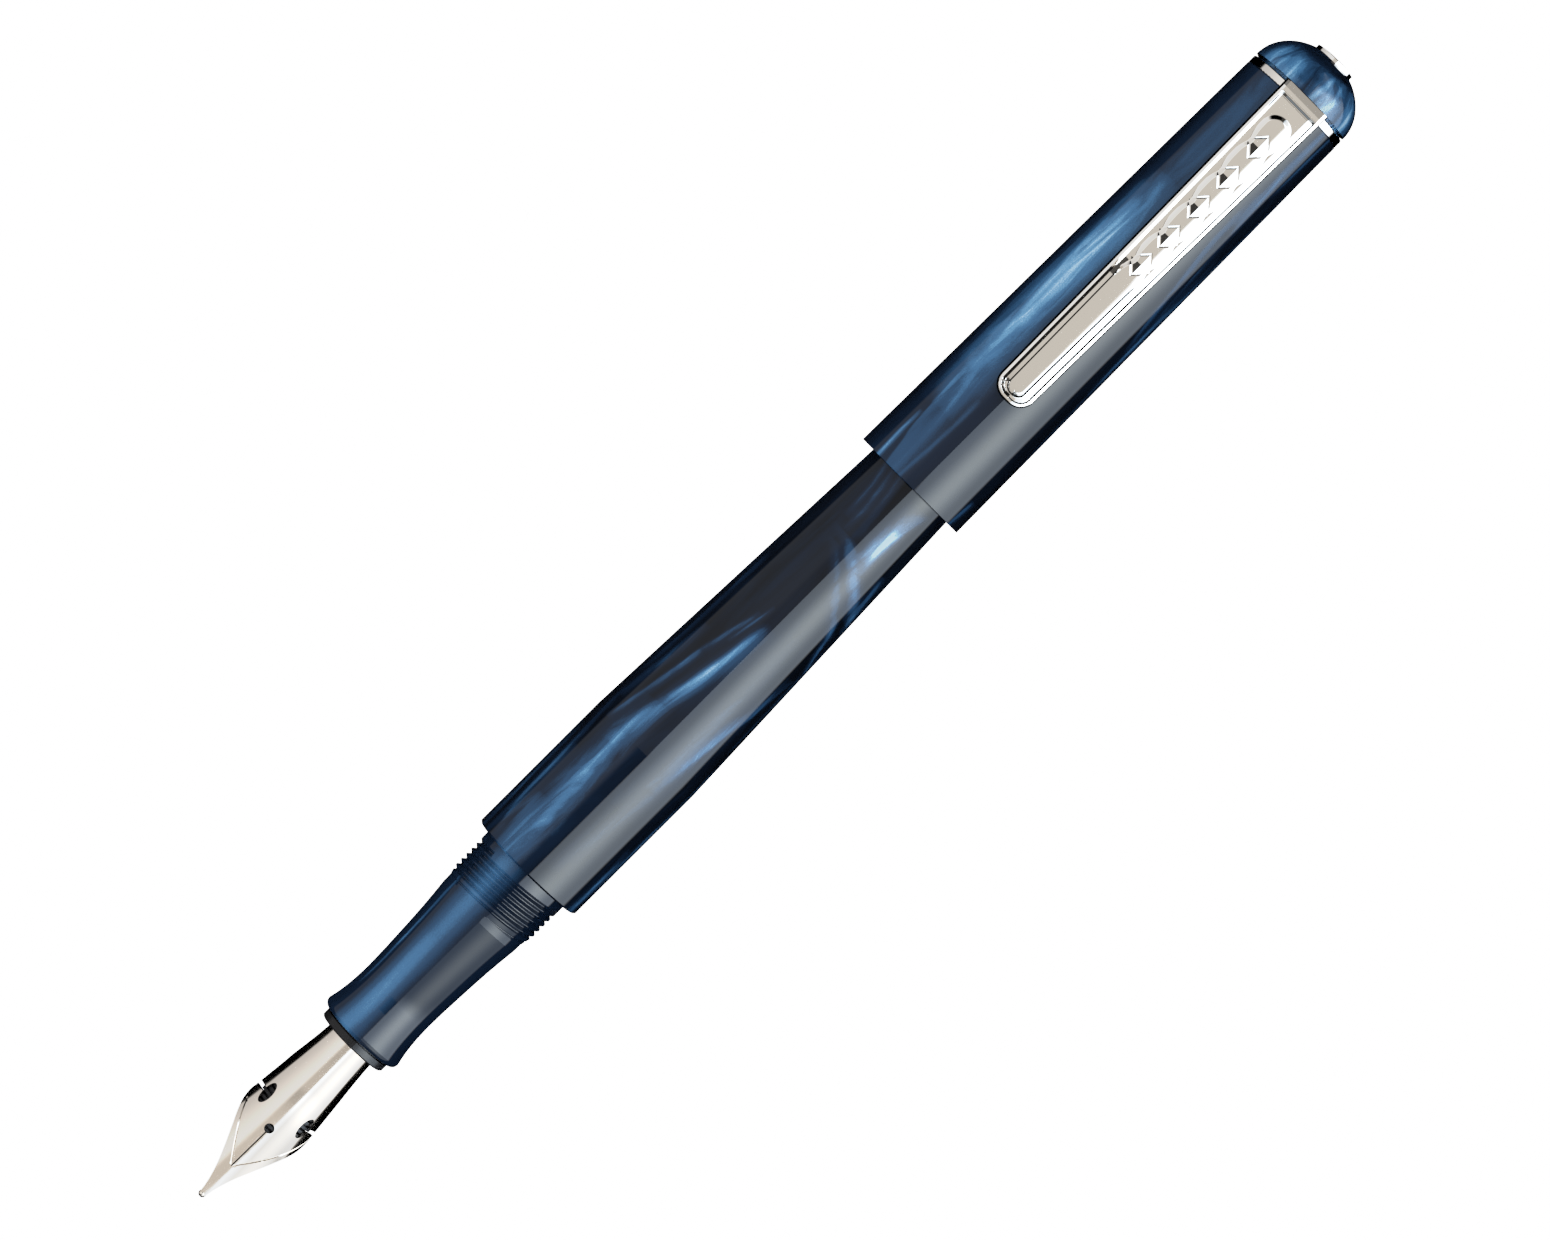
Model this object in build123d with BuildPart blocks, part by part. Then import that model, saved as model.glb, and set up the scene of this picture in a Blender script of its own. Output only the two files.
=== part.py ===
from build123d import *

import math
import os

# A fountain pen with its cap posted on the barrel's tail, ready to write.
# The pen lies along X: nib towards -X, finial towards +X, clip and nib's top side towards +Z.
# The origin is the middle of the bounding box at the surface that the barrel rests on.
# Lengths are millimetres. Stations along the pen end in _X, radii end in _R.

# ---- driving dimensions: outside of the pen ----
BARREL_R = 6.87
AXIS_Z = BARREL_R
BARREL_FRONT_X = -35.1
BARREL_STRAIGHT = 17.35
BARREL_LENGTH = 73.0
BARREL_TAPER = 0.0396
BARREL_EDGE = 0.2
BARREL_TAIL_ROUND = 1.6

SECTION_LIP_X = -59.84
SECTION_LIP_FACE_R = 4.5
SECTION_LIP_ARC_R = 0.7
SECTION_OUTLINE = [(-59.1, 5.0), (-57.3, 4.66), (-54.6, 4.47), (-50.45, 4.57), (-46.3, 4.79), (-42.2, 5.16)]
SECTION_SHOULDER_X = BARREL_FRONT_X - 0.02
SECTION_SHOULDER_LENGTH = 1.2

CAP_LIP_X = 20.86
CAP_LENGTH = 55.5
CAP_LIP_R = 6.85
CAP_TOP_R = 6.3

RING_R = 6.28
RING_THICKNESS = 1.04
FINIAL_GAP = 0.3
FINIAL_GAP_R = 5.6
FINIAL_HEIGHT = 5.1
FINIAL_DISC_R = 2.4
FINIAL_DISC_PROUD = 0.25
FINIAL_DISC_CROWN = 0.07
FINIAL_DISC_DEPTH = 0.65
RING_ROUND = 0.2

CLIP_TIP_X = 33.95
CLIP_ROOT_X = 77.55
CLIP_TOP = 8.0
CLIP_THICKNESS = 0.9
CLIP_TIP_HALF_WIDTH = 2.26
CLIP_MIDDLE_X = 53.9
CLIP_MIDDLE_HALF_WIDTH = 2.5
CLIP_ROOT_HALF_WIDTH = 2.89
CLIP_TIP_CORNER = 1.86
CLIP_RIM_WIDTH = 0.45
CLIP_GROOVE_DEPTH = 0.3
CLIP_ROOT_BEVEL = 0.45
CLIP_FOOT_MARGIN = 0.2
CLIP_PAD_X = 37.0
CLIP_PAD_R = 3.0
CLIP_PAD_SINK = 0.38
CLIP_PAD_LENGTH = 4.0
CLIP_PAD_DEPTH = 3.0
BAR_HALF_WIDTH = 1.2
BAR_START_X = 34.8
BAR_END_X = 74.5
BAR_DRAFT = 20
BAR_STUDS_X = [53.47, 57.5, 61.77, 66.0, 70.35]
BAR_STUD_HALF_LENGTH = 1.4
BAR_STUD_HALF_WIDTH = 1.3
BAR_STUD_HEIGHT = 0.35
FOOT_HALF_WIDTH = 1.4
FOOT_BOTTOM = 5.0
FOOT_THICKNESS = 0.5
FOOT_OVER_RING = 0.12
FOOT_SLOT_CLEARANCE = 0.15

NIB_TIP_X = -83.25
TIPPING_R = 0.42
NIB_COLLAR_X = -60.9
NIB_COLLAR_R = 4.22
NIB_COLLAR_LENGTH = 0.85
NIB_COLLAR_BEVEL = 0.15

# ---- driving dimensions: nib and feed ----
NIB_THICKNESS = 0.3
NIB_ROOT_R = 3.04
NIB_REAR_X = -50.0
NIB_TIP_TOP = 1.5
# Each station of the nib's shell is x, outer radius, height of the top line over the axis and half angle.
NIB_STATIONS = [
    (NIB_REAR_X, NIB_ROOT_R, NIB_ROOT_R, 80),
    (-62.0, NIB_ROOT_R, NIB_ROOT_R, 80),
    (-67.0, 3.6, 3.04, 78),
    (-72.2, 4.3, 3.02, 76),
    (-77.0, 5.2, 2.62, 60),
    (-80.5, 5.5, 1.98, 40),
    (NIB_TIP_X + TIPPING_R, 5.5, NIB_TIP_TOP, 20),
]
NIB_HALF_OUTLINE = [
    (-61.0, 3.1),
    (-66.0, 3.5),
    (-70.6, 3.9),
    (-71.9, 4.08),
    (-73.2, 3.93),
    (-75.3, 3.0),
    (-77.4, 2.05),
    (-79.4, 1.2),
    (-81.5, 0.62),
    (NIB_TIP_X + TIPPING_R, 0.38),
]
BREATHER_X = -73.0
BREATHER_R = 0.54
SLIT_WIDTH = 0.11
NOTCH_X = -70.5
NOTCH_Y = 2.75
NOTCH_HALF_LENGTH = 1.33
NOTCH_HALF_WIDTH = 0.55
NOTCH_SLIT = 0.45
NIB_DEPTH = 8.0
FEED_R = 2.68
FEED_TIP_X = -80.0
FEED_TIP_R = 1.55
FEED_NOSE_X = -72.2
FEED_TOP_OUTLINE = [(-72.2, 2.6), (-74.0, 2.2), (-77.0, 1.8), (-80.0, 1.45)]
FEED_KEEL_OUTLINE = [(-80.0, 1.25), (-74.0, -1.7), (-69.0, -2.68)]
FEED_REAR_X = -47.2
FEED_CORE_R = 1.95
FEED_FIN_PITCH = 0.56
FEED_SLOT = 0.26
FEED_FINS_START_X = -75.4
FEED_FIN_COUNT = 22

# ---- driving dimensions: threads ----
CAP_THREAD_STARTS = 3
CAP_THREAD_PITCH = 0.75
CAP_THREAD_ROOT_R = 5.17
CAP_THREAD_CREST_R = 5.52
CAP_THREAD_START_X = -41.3
CAP_THREAD_RUNOUT = 1.4
TENON_PITCH = 0.75
TENON_ROOT_R = 4.25
TENON_CREST_R = 4.6
THREAD_CLEARANCE = 0.08
THREAD_FLAT = 0.08
CUT_THROUGH = 0.03

# ---- driving dimensions: inside ----
TENON_LENGTH = 8.0
TENON_NECK_LENGTH = 1.0
TENON_NECK_R = 4.18
SEAL_SECTION_R = 0.42
SEAL_CENTRE_R = 4.66
SEAL_SEAT_R = 5.12
HOUSING_R = 3.55
HOUSING_BORE_R = 3.08
HOUSING_END_X = -46.0
NIPPLE_R = 1.25
NIPPLE_END_X = -41.2
NIPPLE_FLOW_R = 0.5

CONVERTER_MOUTH_X = -45.0
CONVERTER_R = 3.5
CONVERTER_BORE_R = 2.9
CONVERTER_MOUTH_R = 1.3
CONVERTER_MOUTH_LENGTH = 4.4
CONVERTER_MOUTH_BEVEL = (0.6, 0.3)
TUBE_END_X = -8.0
SLEEVE_START_X = -12.0
SLEEVE_END_X = 5.0
SLEEVE_INNER_R = 3.2
BUSHING_END_X = -3.0
KNOB_END_X = 25.0
KNOB_R = 3.55
KNOB_NECK_R = 2.6
KNOB_BORE_R = 1.4
KNOB_FLANGE = 1.2
KNOB_FLANGE_R = 3.1
KNOB_PLAY = 0.1
KNOB_BEVEL = 0.5
KNOB_END_WALL = 1.2
KNOB_COLLAR = 1.5
KNOB_FLUTES = 18
FLUTE_R = 0.3
SLEEVE_LIP = 0.8
SPINDLE_R = 1.25
SPINDLE_FLATS = 1.9
SPINDLE_PLAY = 0.05
SPINDLE_LENGTH = 41.0
PISTON_FACE_X = -40.0
PISTON_LENGTH = 3.4
SEAL_LAND_LENGTH = 1.6
SEAL_GROOVE_DEPTH = 0.9
PISTON_FACE_CLEARANCE = 0.25
PISTON_CLEARANCE = 0.15
SEAL_CLEARANCE = 0.03

BARREL_BORE_R = 3.85
BARREL_BORE_END_X = 31.8
SECTION_CONVERTER_BORE_R = 3.62

CAP_MOUTH_BORE_R = 5.62
CAP_THREAD_BORE_R = 5.27
CAP_THREAD_BORE_X = 24.0
CAP_FIT_BORE_R = 5.05
CAP_FIT_BORE_X = 29.0
INNER_CAP_MOUTH_X = 45.8
INNER_CAP_R = 5.38
INNER_CAP_BORE_R = 4.55
INNER_CAP_END_WALL = 1.1
INNER_CAP_MOUTH_BEVEL = (0.5, 0.3)
CAP_TOP_BORE_R = 5.4
CAP_END_WALL = 1.56
CAP_LIP_BEVEL = 0.05
CAP_THREAD_LEAD_IN = 0.4
CAP_THREAD_LEAD_OUT = 0.2
STUD_R = 1.95
STUD_LENGTH = 5.8
STUD_HOLE_CLEARANCE = 0.15
NUT_R = 3.3
NUT_THICKNESS = 2.0
ASSEMBLY_GAP = 0.02
EPS = 0.01

# ---- derived stations and working planes ----
CAP_TOP_X = CAP_LIP_X + CAP_LENGTH
RING_END_X = CAP_TOP_X + RING_THICKNESS
FINIAL_BASE_X = RING_END_X + FINIAL_GAP
FINIAL_APEX_X = FINIAL_BASE_X + FINIAL_HEIGHT
BARREL_TAIL_X = BARREL_FRONT_X + BARREL_LENGTH
BARREL_TAPER_X = BARREL_FRONT_X + BARREL_STRAIGHT
BARREL_TAIL_R = BARREL_R - BARREL_TAPER * (BARREL_TAIL_X - BARREL_TAPER_X)
TENON_END_X = SECTION_SHOULDER_X + TENON_LENGTH

PROFILE = Plane((0, 0, AXIS_Z), x_dir=(1, 0, 0), z_dir=(0, -1, 0))
PLAN = Plane((0, 0, AXIS_Z), x_dir=(1, 0, 0), z_dir=(0, 0, 1))
PEN_AXIS = Axis((0, 0, AXIS_Z), (1, 0, 0))

os.makedirs("parts", exist_ok=True)


def cross_plane(x):
    """The plane across the pen at station x: local x is world Y, local y is world Z."""
    return Plane((x, 0, AXIS_Z), x_dir=(0, 1, 0), z_dir=(1, 0, 0))


def outline(*corners):
    """A closed straight-sided half profile of (x, radius) corners, for a turned piece."""
    with BuildSketch(PROFILE) as sketch:
        with BuildLine():
            Polyline(*corners, close=True)
        make_face()
    return sketch.sketch


def ring_outline(start_x, end_x, inner_r, outer_r):
    """The half profile of a plain ring or tube."""
    return outline((start_x, inner_r), (end_x, inner_r), (end_x, outer_r), (start_x, outer_r))


def thread_grooves(start_x, length, pitch, starts, narrow_r, wide_r):
    """Right-handed V grooves round the pen's axis, to cut a thread: narrow_r is their closed side."""
    outwards = math.copysign(1, wide_r - narrow_r)
    depth = abs(wide_r - narrow_r)
    narrow_half = THREAD_FLAT / 2
    flank = (pitch / 2 - THREAD_FLAT) / depth
    wide_half = narrow_half + flank * (depth + CUT_THROUGH)
    with BuildPart() as groove:
        with BuildLine() as path:
            Helix(pitch * starts, length, narrow_r, center=(start_x, 0, AXIS_Z), direction=(1, 0, 0))
        start = path.line @ 0
        radial = (start - Vector(start_x, 0, AXIS_Z)).normalized()
        with BuildSketch(Plane(start, x_dir=radial, z_dir=path.line % 0)):
            with BuildLine():
                Polyline(
                    (0, -narrow_half),
                    (outwards * (depth + CUT_THROUGH), -wide_half),
                    (outwards * (depth + CUT_THROUGH), wide_half),
                    (0, narrow_half),
                    close=True,
                )
            make_face()
        sweep(path=path.wires()[0], is_frenet=True)
    return [groove.part.rotate(PEN_AXIS, 360 / starts * index) for index in range(starts)]


def save(piece, name):
    """Names a finished piece and writes it."""
    piece.label = name
    export_step(piece, f"parts/{name}.step")


# ---- barrel: tapered shell with the section's socket in front and a blind bore for the converter ----
barrel_profile = outline(
    (BARREL_FRONT_X, SEAL_SEAT_R),
    (BARREL_FRONT_X, BARREL_R - BARREL_EDGE),
    (BARREL_FRONT_X + BARREL_EDGE, BARREL_R),
    (BARREL_TAPER_X, BARREL_R),
    (BARREL_TAIL_X, BARREL_TAIL_R),
    (BARREL_TAIL_X, 0),
    (BARREL_BORE_END_X, 0),
    (BARREL_BORE_END_X, BARREL_BORE_R),
    (TENON_END_X + TENON_PITCH, BARREL_BORE_R),
    (TENON_END_X + TENON_PITCH, TENON_ROOT_R + THREAD_CLEARANCE),
    (SECTION_SHOULDER_X + TENON_NECK_LENGTH, TENON_ROOT_R + THREAD_CLEARANCE),
    (SECTION_SHOULDER_X + TENON_NECK_LENGTH, SEAL_SEAT_R),
)
socket_thread = thread_grooves(
    SECTION_SHOULDER_X + TENON_NECK_LENGTH - TENON_PITCH,
    TENON_LENGTH,
    TENON_PITCH,
    1,
    TENON_CREST_R + THREAD_CLEARANCE,
    TENON_ROOT_R + THREAD_CLEARANCE,
)
with BuildPart() as barrel:
    revolve(barrel_profile, axis=PEN_AXIS)
    tail_edge = barrel.edges().filter_by(GeomType.CIRCLE).sort_by(Axis.X)[-1]
    fillet(tail_edge, BARREL_TAIL_ROUND)
    add(socket_thread, mode=Mode.SUBTRACT)
save(barrel.part, "barrel")

# ---- section: the grip, with the cap's thread, the shoulder and the threaded tenon ----
with BuildSketch(PROFILE) as section_profile:
    with BuildLine():
        grip = Spline(*SECTION_OUTLINE)
        lip = RadiusArc((SECTION_LIP_X, SECTION_LIP_FACE_R), grip @ 0, SECTION_LIP_ARC_R)
        Polyline(
            grip @ 1,
            (CAP_THREAD_START_X, CAP_THREAD_ROOT_R),
            (CAP_THREAD_START_X + CAP_THREAD_RUNOUT, CAP_THREAD_CREST_R),
            (SECTION_SHOULDER_X, CAP_THREAD_CREST_R),
            (SECTION_SHOULDER_X, TENON_NECK_R),
            (SECTION_SHOULDER_X + TENON_NECK_LENGTH, TENON_NECK_R),
            (SECTION_SHOULDER_X + TENON_NECK_LENGTH, TENON_CREST_R),
            (TENON_END_X, TENON_CREST_R),
            (TENON_END_X, SECTION_CONVERTER_BORE_R),
            (SECTION_LIP_X, SECTION_CONVERTER_BORE_R),
            (SECTION_LIP_X, SECTION_LIP_FACE_R),
        )
    make_face()

cap_thread = thread_grooves(
    CAP_THREAD_START_X,
    SECTION_SHOULDER_X - SECTION_SHOULDER_LENGTH - CAP_THREAD_START_X,
    CAP_THREAD_PITCH,
    CAP_THREAD_STARTS,
    CAP_THREAD_ROOT_R,
    CAP_THREAD_CREST_R,
)
# Half a pitch after the socket's grooves, so that the ridges left between lie in them.
tenon_thread = thread_grooves(
    SECTION_SHOULDER_X + TENON_NECK_LENGTH - TENON_PITCH / 2,
    TENON_LENGTH - TENON_NECK_LENGTH + TENON_PITCH,
    TENON_PITCH,
    1,
    TENON_ROOT_R,
    TENON_CREST_R,
)
with BuildPart() as section:
    revolve(section_profile.sketch, axis=PEN_AXIS)
    add(cap_thread, mode=Mode.SUBTRACT)
    add(tenon_thread, mode=Mode.SUBTRACT)
save(section.part, "section")

with BuildPart() as section_seal:
    with BuildSketch(PROFILE):
        with Locations((SECTION_SHOULDER_X + TENON_NECK_LENGTH / 2, SEAL_CENTRE_R)):
            Circle(SEAL_SECTION_R)
    revolve(axis=PEN_AXIS)
save(section_seal.part, "section_o_ring")

# ---- nib unit: housing with its collar and the converter's nipple ----
collar_end_x = NIB_COLLAR_X + NIB_COLLAR_LENGTH
with BuildPart() as nib_housing:
    revolve(
        outline(
            (NIB_COLLAR_X, HOUSING_BORE_R),
            (NIB_COLLAR_X, NIB_COLLAR_R - NIB_COLLAR_BEVEL),
            (NIB_COLLAR_X + NIB_COLLAR_BEVEL, NIB_COLLAR_R),
            (collar_end_x, NIB_COLLAR_R),
            (collar_end_x, HOUSING_R),
            (HOUSING_END_X, HOUSING_R),
            (HOUSING_END_X, NIPPLE_R),
            (NIPPLE_END_X, NIPPLE_R),
            (NIPPLE_END_X, NIPPLE_FLOW_R),
            (FEED_REAR_X + ASSEMBLY_GAP, NIPPLE_FLOW_R),
            (FEED_REAR_X + ASSEMBLY_GAP, HOUSING_BORE_R),
        ),
        axis=PEN_AXIS,
    )
save(nib_housing.part, "nib_housing")

# ---- nib: a thin shell, a half round at the collar, wider and flatter at the shoulders ----
with BuildPart() as nib:
    for station_x, station_r, station_top, station_angle in NIB_STATIONS:
        inner_r = station_r - NIB_THICKNESS
        centre = (0, station_top - station_r)
        with BuildSketch(cross_plane(station_x)):
            with BuildLine():
                outer = CenterArc(centre, station_r, 90 - station_angle, 2 * station_angle)
                inner = CenterArc(centre, inner_r, 90 - station_angle, 2 * station_angle)
                Line(outer @ 0, inner @ 0)
                Line(outer @ 1, inner @ 1)
            make_face()
    loft(ruled=True)
    with BuildSketch(PLAN.offset(-NIB_DEPTH / 2)):
        with BuildLine():
            side = Spline(*NIB_HALF_OUTLINE)
            rear = Polyline(side @ 0, (NIB_REAR_X, NIB_ROOT_R + 1), (NIB_REAR_X, 0))
            front = Line(side @ 1, (NIB_TIP_X + TIPPING_R, 0))
            mirror(about=Plane.XZ)
        make_face()
    extrude(amount=NIB_DEPTH, mode=Mode.INTERSECT)
    with BuildSketch(PLAN):
        with Locations((BREATHER_X, 0)):
            Circle(BREATHER_R)
        with Locations(((BREATHER_X + NIB_TIP_X) / 2, 0)):
            Rectangle(BREATHER_X - NIB_TIP_X, SLIT_WIDTH)
        with Locations((NOTCH_X, NOTCH_Y), (NOTCH_X, -NOTCH_Y)):
            Ellipse(NOTCH_HALF_LENGTH, NOTCH_HALF_WIDTH)
        with Locations((NOTCH_X, NOTCH_Y + NIB_ROOT_R / 2), (NOTCH_X, -NOTCH_Y - NIB_ROOT_R / 2)):
            Rectangle(NOTCH_SLIT, NIB_ROOT_R)
    extrude(amount=NIB_DEPTH / 2, mode=Mode.SUBTRACT)
save(nib.part, "nib")

with BuildPart() as nib_tipping:
    with Locations((NIB_TIP_X + TIPPING_R, 0, AXIS_Z + NIB_TIP_TOP - NIB_THICKNESS)):
        Sphere(TIPPING_R)
    with Locations((NIB_TIP_X + TIPPING_R, 0, AXIS_Z + NIB_TIP_TOP)):
        Box(4 * TIPPING_R, SLIT_WIDTH / 2, 4 * TIPPING_R, mode=Mode.SUBTRACT)
tipping = nib_tipping.part - nib.part
tipping_halves = Compound(children=[half for half in tipping.solids() if half.volume > EPS])
save(tipping_halves, "nib_tipping")

# ---- feed: finned ink conductor under the nib ----
with BuildPart() as feed:
    with BuildSketch(PROFILE):
        with BuildLine():
            Polyline(
                (FEED_REAR_X, -FEED_R),
                (FEED_REAR_X, FEED_R),
                *FEED_TOP_OUTLINE,
                *FEED_KEEL_OUTLINE,
                close=True,
            )
        make_face()
    extrude(amount=FEED_R, both=True)
    revolve(
        outline(
            (FEED_TIP_X, 0),
            (FEED_TIP_X, FEED_TIP_R),
            (FEED_NOSE_X, FEED_R),
            (FEED_REAR_X, FEED_R),
            (FEED_REAR_X, 0),
        ),
        axis=PEN_AXIS,
        mode=Mode.INTERSECT,
    )
    with BuildSketch(PROFILE):
        for fin in range(FEED_FIN_COUNT):
            with Locations((FEED_FINS_START_X + FEED_FIN_PITCH * fin, (FEED_CORE_R + FEED_R + 1) / 2)):
                Rectangle(FEED_SLOT, FEED_R + 1 - FEED_CORE_R)
    revolve(axis=PEN_AXIS, mode=Mode.SUBTRACT)
save(feed.part, "feed")


def spindle_section(play):
    """The spindle's round section with two flats, grown by play for the keyed hole."""
    with BuildSketch() as section_sketch:
        Circle(SPINDLE_R + play)
        Rectangle(2 * (SPINDLE_R + play), SPINDLE_FLATS + 2 * play, mode=Mode.INTERSECT)
    return section_sketch.sketch


# ---- converter: clear tube, metal sleeve, bushing, knob, spindle, piston and its seal ----
with BuildPart() as converter_tube:
    revolve(
        outline(
            (CONVERTER_MOUTH_X, CONVERTER_MOUTH_R),
            (CONVERTER_MOUTH_X, CONVERTER_R - CONVERTER_MOUTH_BEVEL[1]),
            (CONVERTER_MOUTH_X + CONVERTER_MOUTH_BEVEL[0], CONVERTER_R),
            (SLEEVE_START_X, CONVERTER_R),
            (SLEEVE_START_X, SLEEVE_INNER_R - ASSEMBLY_GAP),
            (TUBE_END_X, SLEEVE_INNER_R - ASSEMBLY_GAP),
            (TUBE_END_X, CONVERTER_BORE_R),
            (CONVERTER_MOUTH_X + CONVERTER_MOUTH_LENGTH, CONVERTER_BORE_R),
            (CONVERTER_MOUTH_X + CONVERTER_MOUTH_LENGTH, CONVERTER_MOUTH_R),
        ),
        axis=PEN_AXIS,
    )
save(converter_tube.part, "converter_tube")

with BuildPart() as converter_sleeve:
    revolve(
        outline(
            (SLEEVE_START_X + ASSEMBLY_GAP, SLEEVE_INNER_R),
            (SLEEVE_START_X + ASSEMBLY_GAP, CONVERTER_R),
            (SLEEVE_END_X, CONVERTER_R),
            (SLEEVE_END_X, KNOB_NECK_R + KNOB_PLAY),
            (SLEEVE_END_X - SLEEVE_LIP, KNOB_NECK_R + KNOB_PLAY),
            (SLEEVE_END_X - SLEEVE_LIP, SLEEVE_INNER_R),
        ),
        axis=PEN_AXIS,
    )
save(converter_sleeve.part, "converter_sleeve")

with BuildPart() as converter_bushing:
    with BuildSketch(cross_plane(TUBE_END_X + ASSEMBLY_GAP)):
        Circle(SLEEVE_INNER_R - ASSEMBLY_GAP)
        add(spindle_section(SPINDLE_PLAY), mode=Mode.SUBTRACT)
    extrude(amount=BUSHING_END_X - TUBE_END_X - ASSEMBLY_GAP)
save(converter_bushing.part, "converter_bushing")

# The knob's flange turns behind the sleeve's lip, which keeps it from pulling out.
flange_end_x = SLEEVE_END_X - SLEEVE_LIP - KNOB_PLAY / 2
flange_start_x = flange_end_x - KNOB_FLANGE
with BuildPart() as converter_knob:
    revolve(
        outline(
            (BUSHING_END_X + KNOB_PLAY, KNOB_BORE_R),
            (BUSHING_END_X + KNOB_PLAY, KNOB_NECK_R),
            (flange_start_x, KNOB_NECK_R),
            (flange_start_x, KNOB_FLANGE_R),
            (flange_end_x, KNOB_FLANGE_R),
            (flange_end_x, KNOB_NECK_R),
            (SLEEVE_END_X + KNOB_PLAY, KNOB_NECK_R),
            (SLEEVE_END_X + KNOB_PLAY, KNOB_R),
            (KNOB_END_X - KNOB_BEVEL, KNOB_R),
            (KNOB_END_X, KNOB_R - KNOB_BEVEL),
            (KNOB_END_X, 0),
            (KNOB_END_X - KNOB_END_WALL, 0),
            (KNOB_END_X - KNOB_END_WALL, KNOB_BORE_R),
        ),
        axis=PEN_AXIS,
    )
    with BuildSketch(cross_plane(SLEEVE_END_X + KNOB_COLLAR)):
        with PolarLocations(KNOB_R + FLUTE_R / 2, KNOB_FLUTES):
            Circle(FLUTE_R)
    extrude(amount=KNOB_END_X - SLEEVE_END_X, mode=Mode.SUBTRACT)
save(converter_knob.part, "converter_knob")

spindle_start_x = PISTON_FACE_X + PISTON_LENGTH / 2
with BuildPart() as converter_spindle:
    with BuildSketch(cross_plane(spindle_start_x)):
        add(spindle_section(0))
    extrude(amount=SPINDLE_LENGTH)
save(converter_spindle.part, "converter_spindle")

seal_start_x = PISTON_FACE_X + (PISTON_LENGTH - SEAL_LAND_LENGTH) / 2
seal_end_x = seal_start_x + SEAL_LAND_LENGTH
with BuildPart() as converter_piston:
    revolve(
        outline(
            (PISTON_FACE_X, 0),
            (PISTON_FACE_X, CONVERTER_BORE_R - PISTON_FACE_CLEARANCE),
            (seal_start_x, CONVERTER_BORE_R - PISTON_CLEARANCE),
            (seal_start_x, CONVERTER_BORE_R - SEAL_GROOVE_DEPTH),
            (seal_end_x, CONVERTER_BORE_R - SEAL_GROOVE_DEPTH),
            (seal_end_x, CONVERTER_BORE_R - PISTON_CLEARANCE),
            (PISTON_FACE_X + PISTON_LENGTH, CONVERTER_BORE_R - PISTON_FACE_CLEARANCE),
            (PISTON_FACE_X + PISTON_LENGTH, SPINDLE_R + ASSEMBLY_GAP),
            (spindle_start_x - ASSEMBLY_GAP, SPINDLE_R + ASSEMBLY_GAP),
            (spindle_start_x - ASSEMBLY_GAP, 0),
        ),
        axis=PEN_AXIS,
    )
save(converter_piston.part, "converter_piston")

with BuildPart() as piston_seal:
    revolve(
        ring_outline(
            seal_start_x + ASSEMBLY_GAP,
            seal_end_x - ASSEMBLY_GAP,
            CONVERTER_BORE_R - SEAL_GROOVE_DEPTH + ASSEMBLY_GAP,
            CONVERTER_BORE_R - SEAL_CLEARANCE,
        ),
        axis=PEN_AXIS,
    )
save(piston_seal.part, "piston_seal")

# ---- cap: tapered shell with its thread, the fit on the barrel's tail and the inner cap's seat ----
cap_end_wall_x = CAP_TOP_X - CAP_END_WALL
cap_bore_thread = thread_grooves(
    CAP_THREAD_BORE_X + CAP_THREAD_PITCH / 2,
    CAP_FIT_BORE_X - CAP_THREAD_BORE_X - 2 * CAP_THREAD_PITCH,
    CAP_THREAD_PITCH,
    CAP_THREAD_STARTS,
    CAP_THREAD_CREST_R + THREAD_CLEARANCE,
    CAP_THREAD_BORE_R,
)
with BuildPart() as cap_body:
    revolve(
        outline(
            (CAP_LIP_X, CAP_MOUTH_BORE_R),
            (CAP_LIP_X, CAP_LIP_R - CAP_LIP_BEVEL),
            (CAP_LIP_X + CAP_LIP_BEVEL, CAP_LIP_R),
            (CAP_TOP_X, CAP_TOP_R),
            (CAP_TOP_X, STUD_R + STUD_HOLE_CLEARANCE),
            (cap_end_wall_x, STUD_R + STUD_HOLE_CLEARANCE),
            (cap_end_wall_x, CAP_TOP_BORE_R),
            (INNER_CAP_MOUTH_X, CAP_TOP_BORE_R),
            (INNER_CAP_MOUTH_X, CAP_FIT_BORE_R),
            (CAP_FIT_BORE_X, CAP_FIT_BORE_R),
            (CAP_FIT_BORE_X - CAP_THREAD_LEAD_OUT, CAP_THREAD_BORE_R),
            (CAP_THREAD_BORE_X, CAP_THREAD_BORE_R),
            (CAP_THREAD_BORE_X - CAP_THREAD_LEAD_IN, CAP_MOUTH_BORE_R),
        ),
        axis=PEN_AXIS,
    )
    add(cap_bore_thread, mode=Mode.SUBTRACT)
save(cap_body.part, "cap_body")

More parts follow.
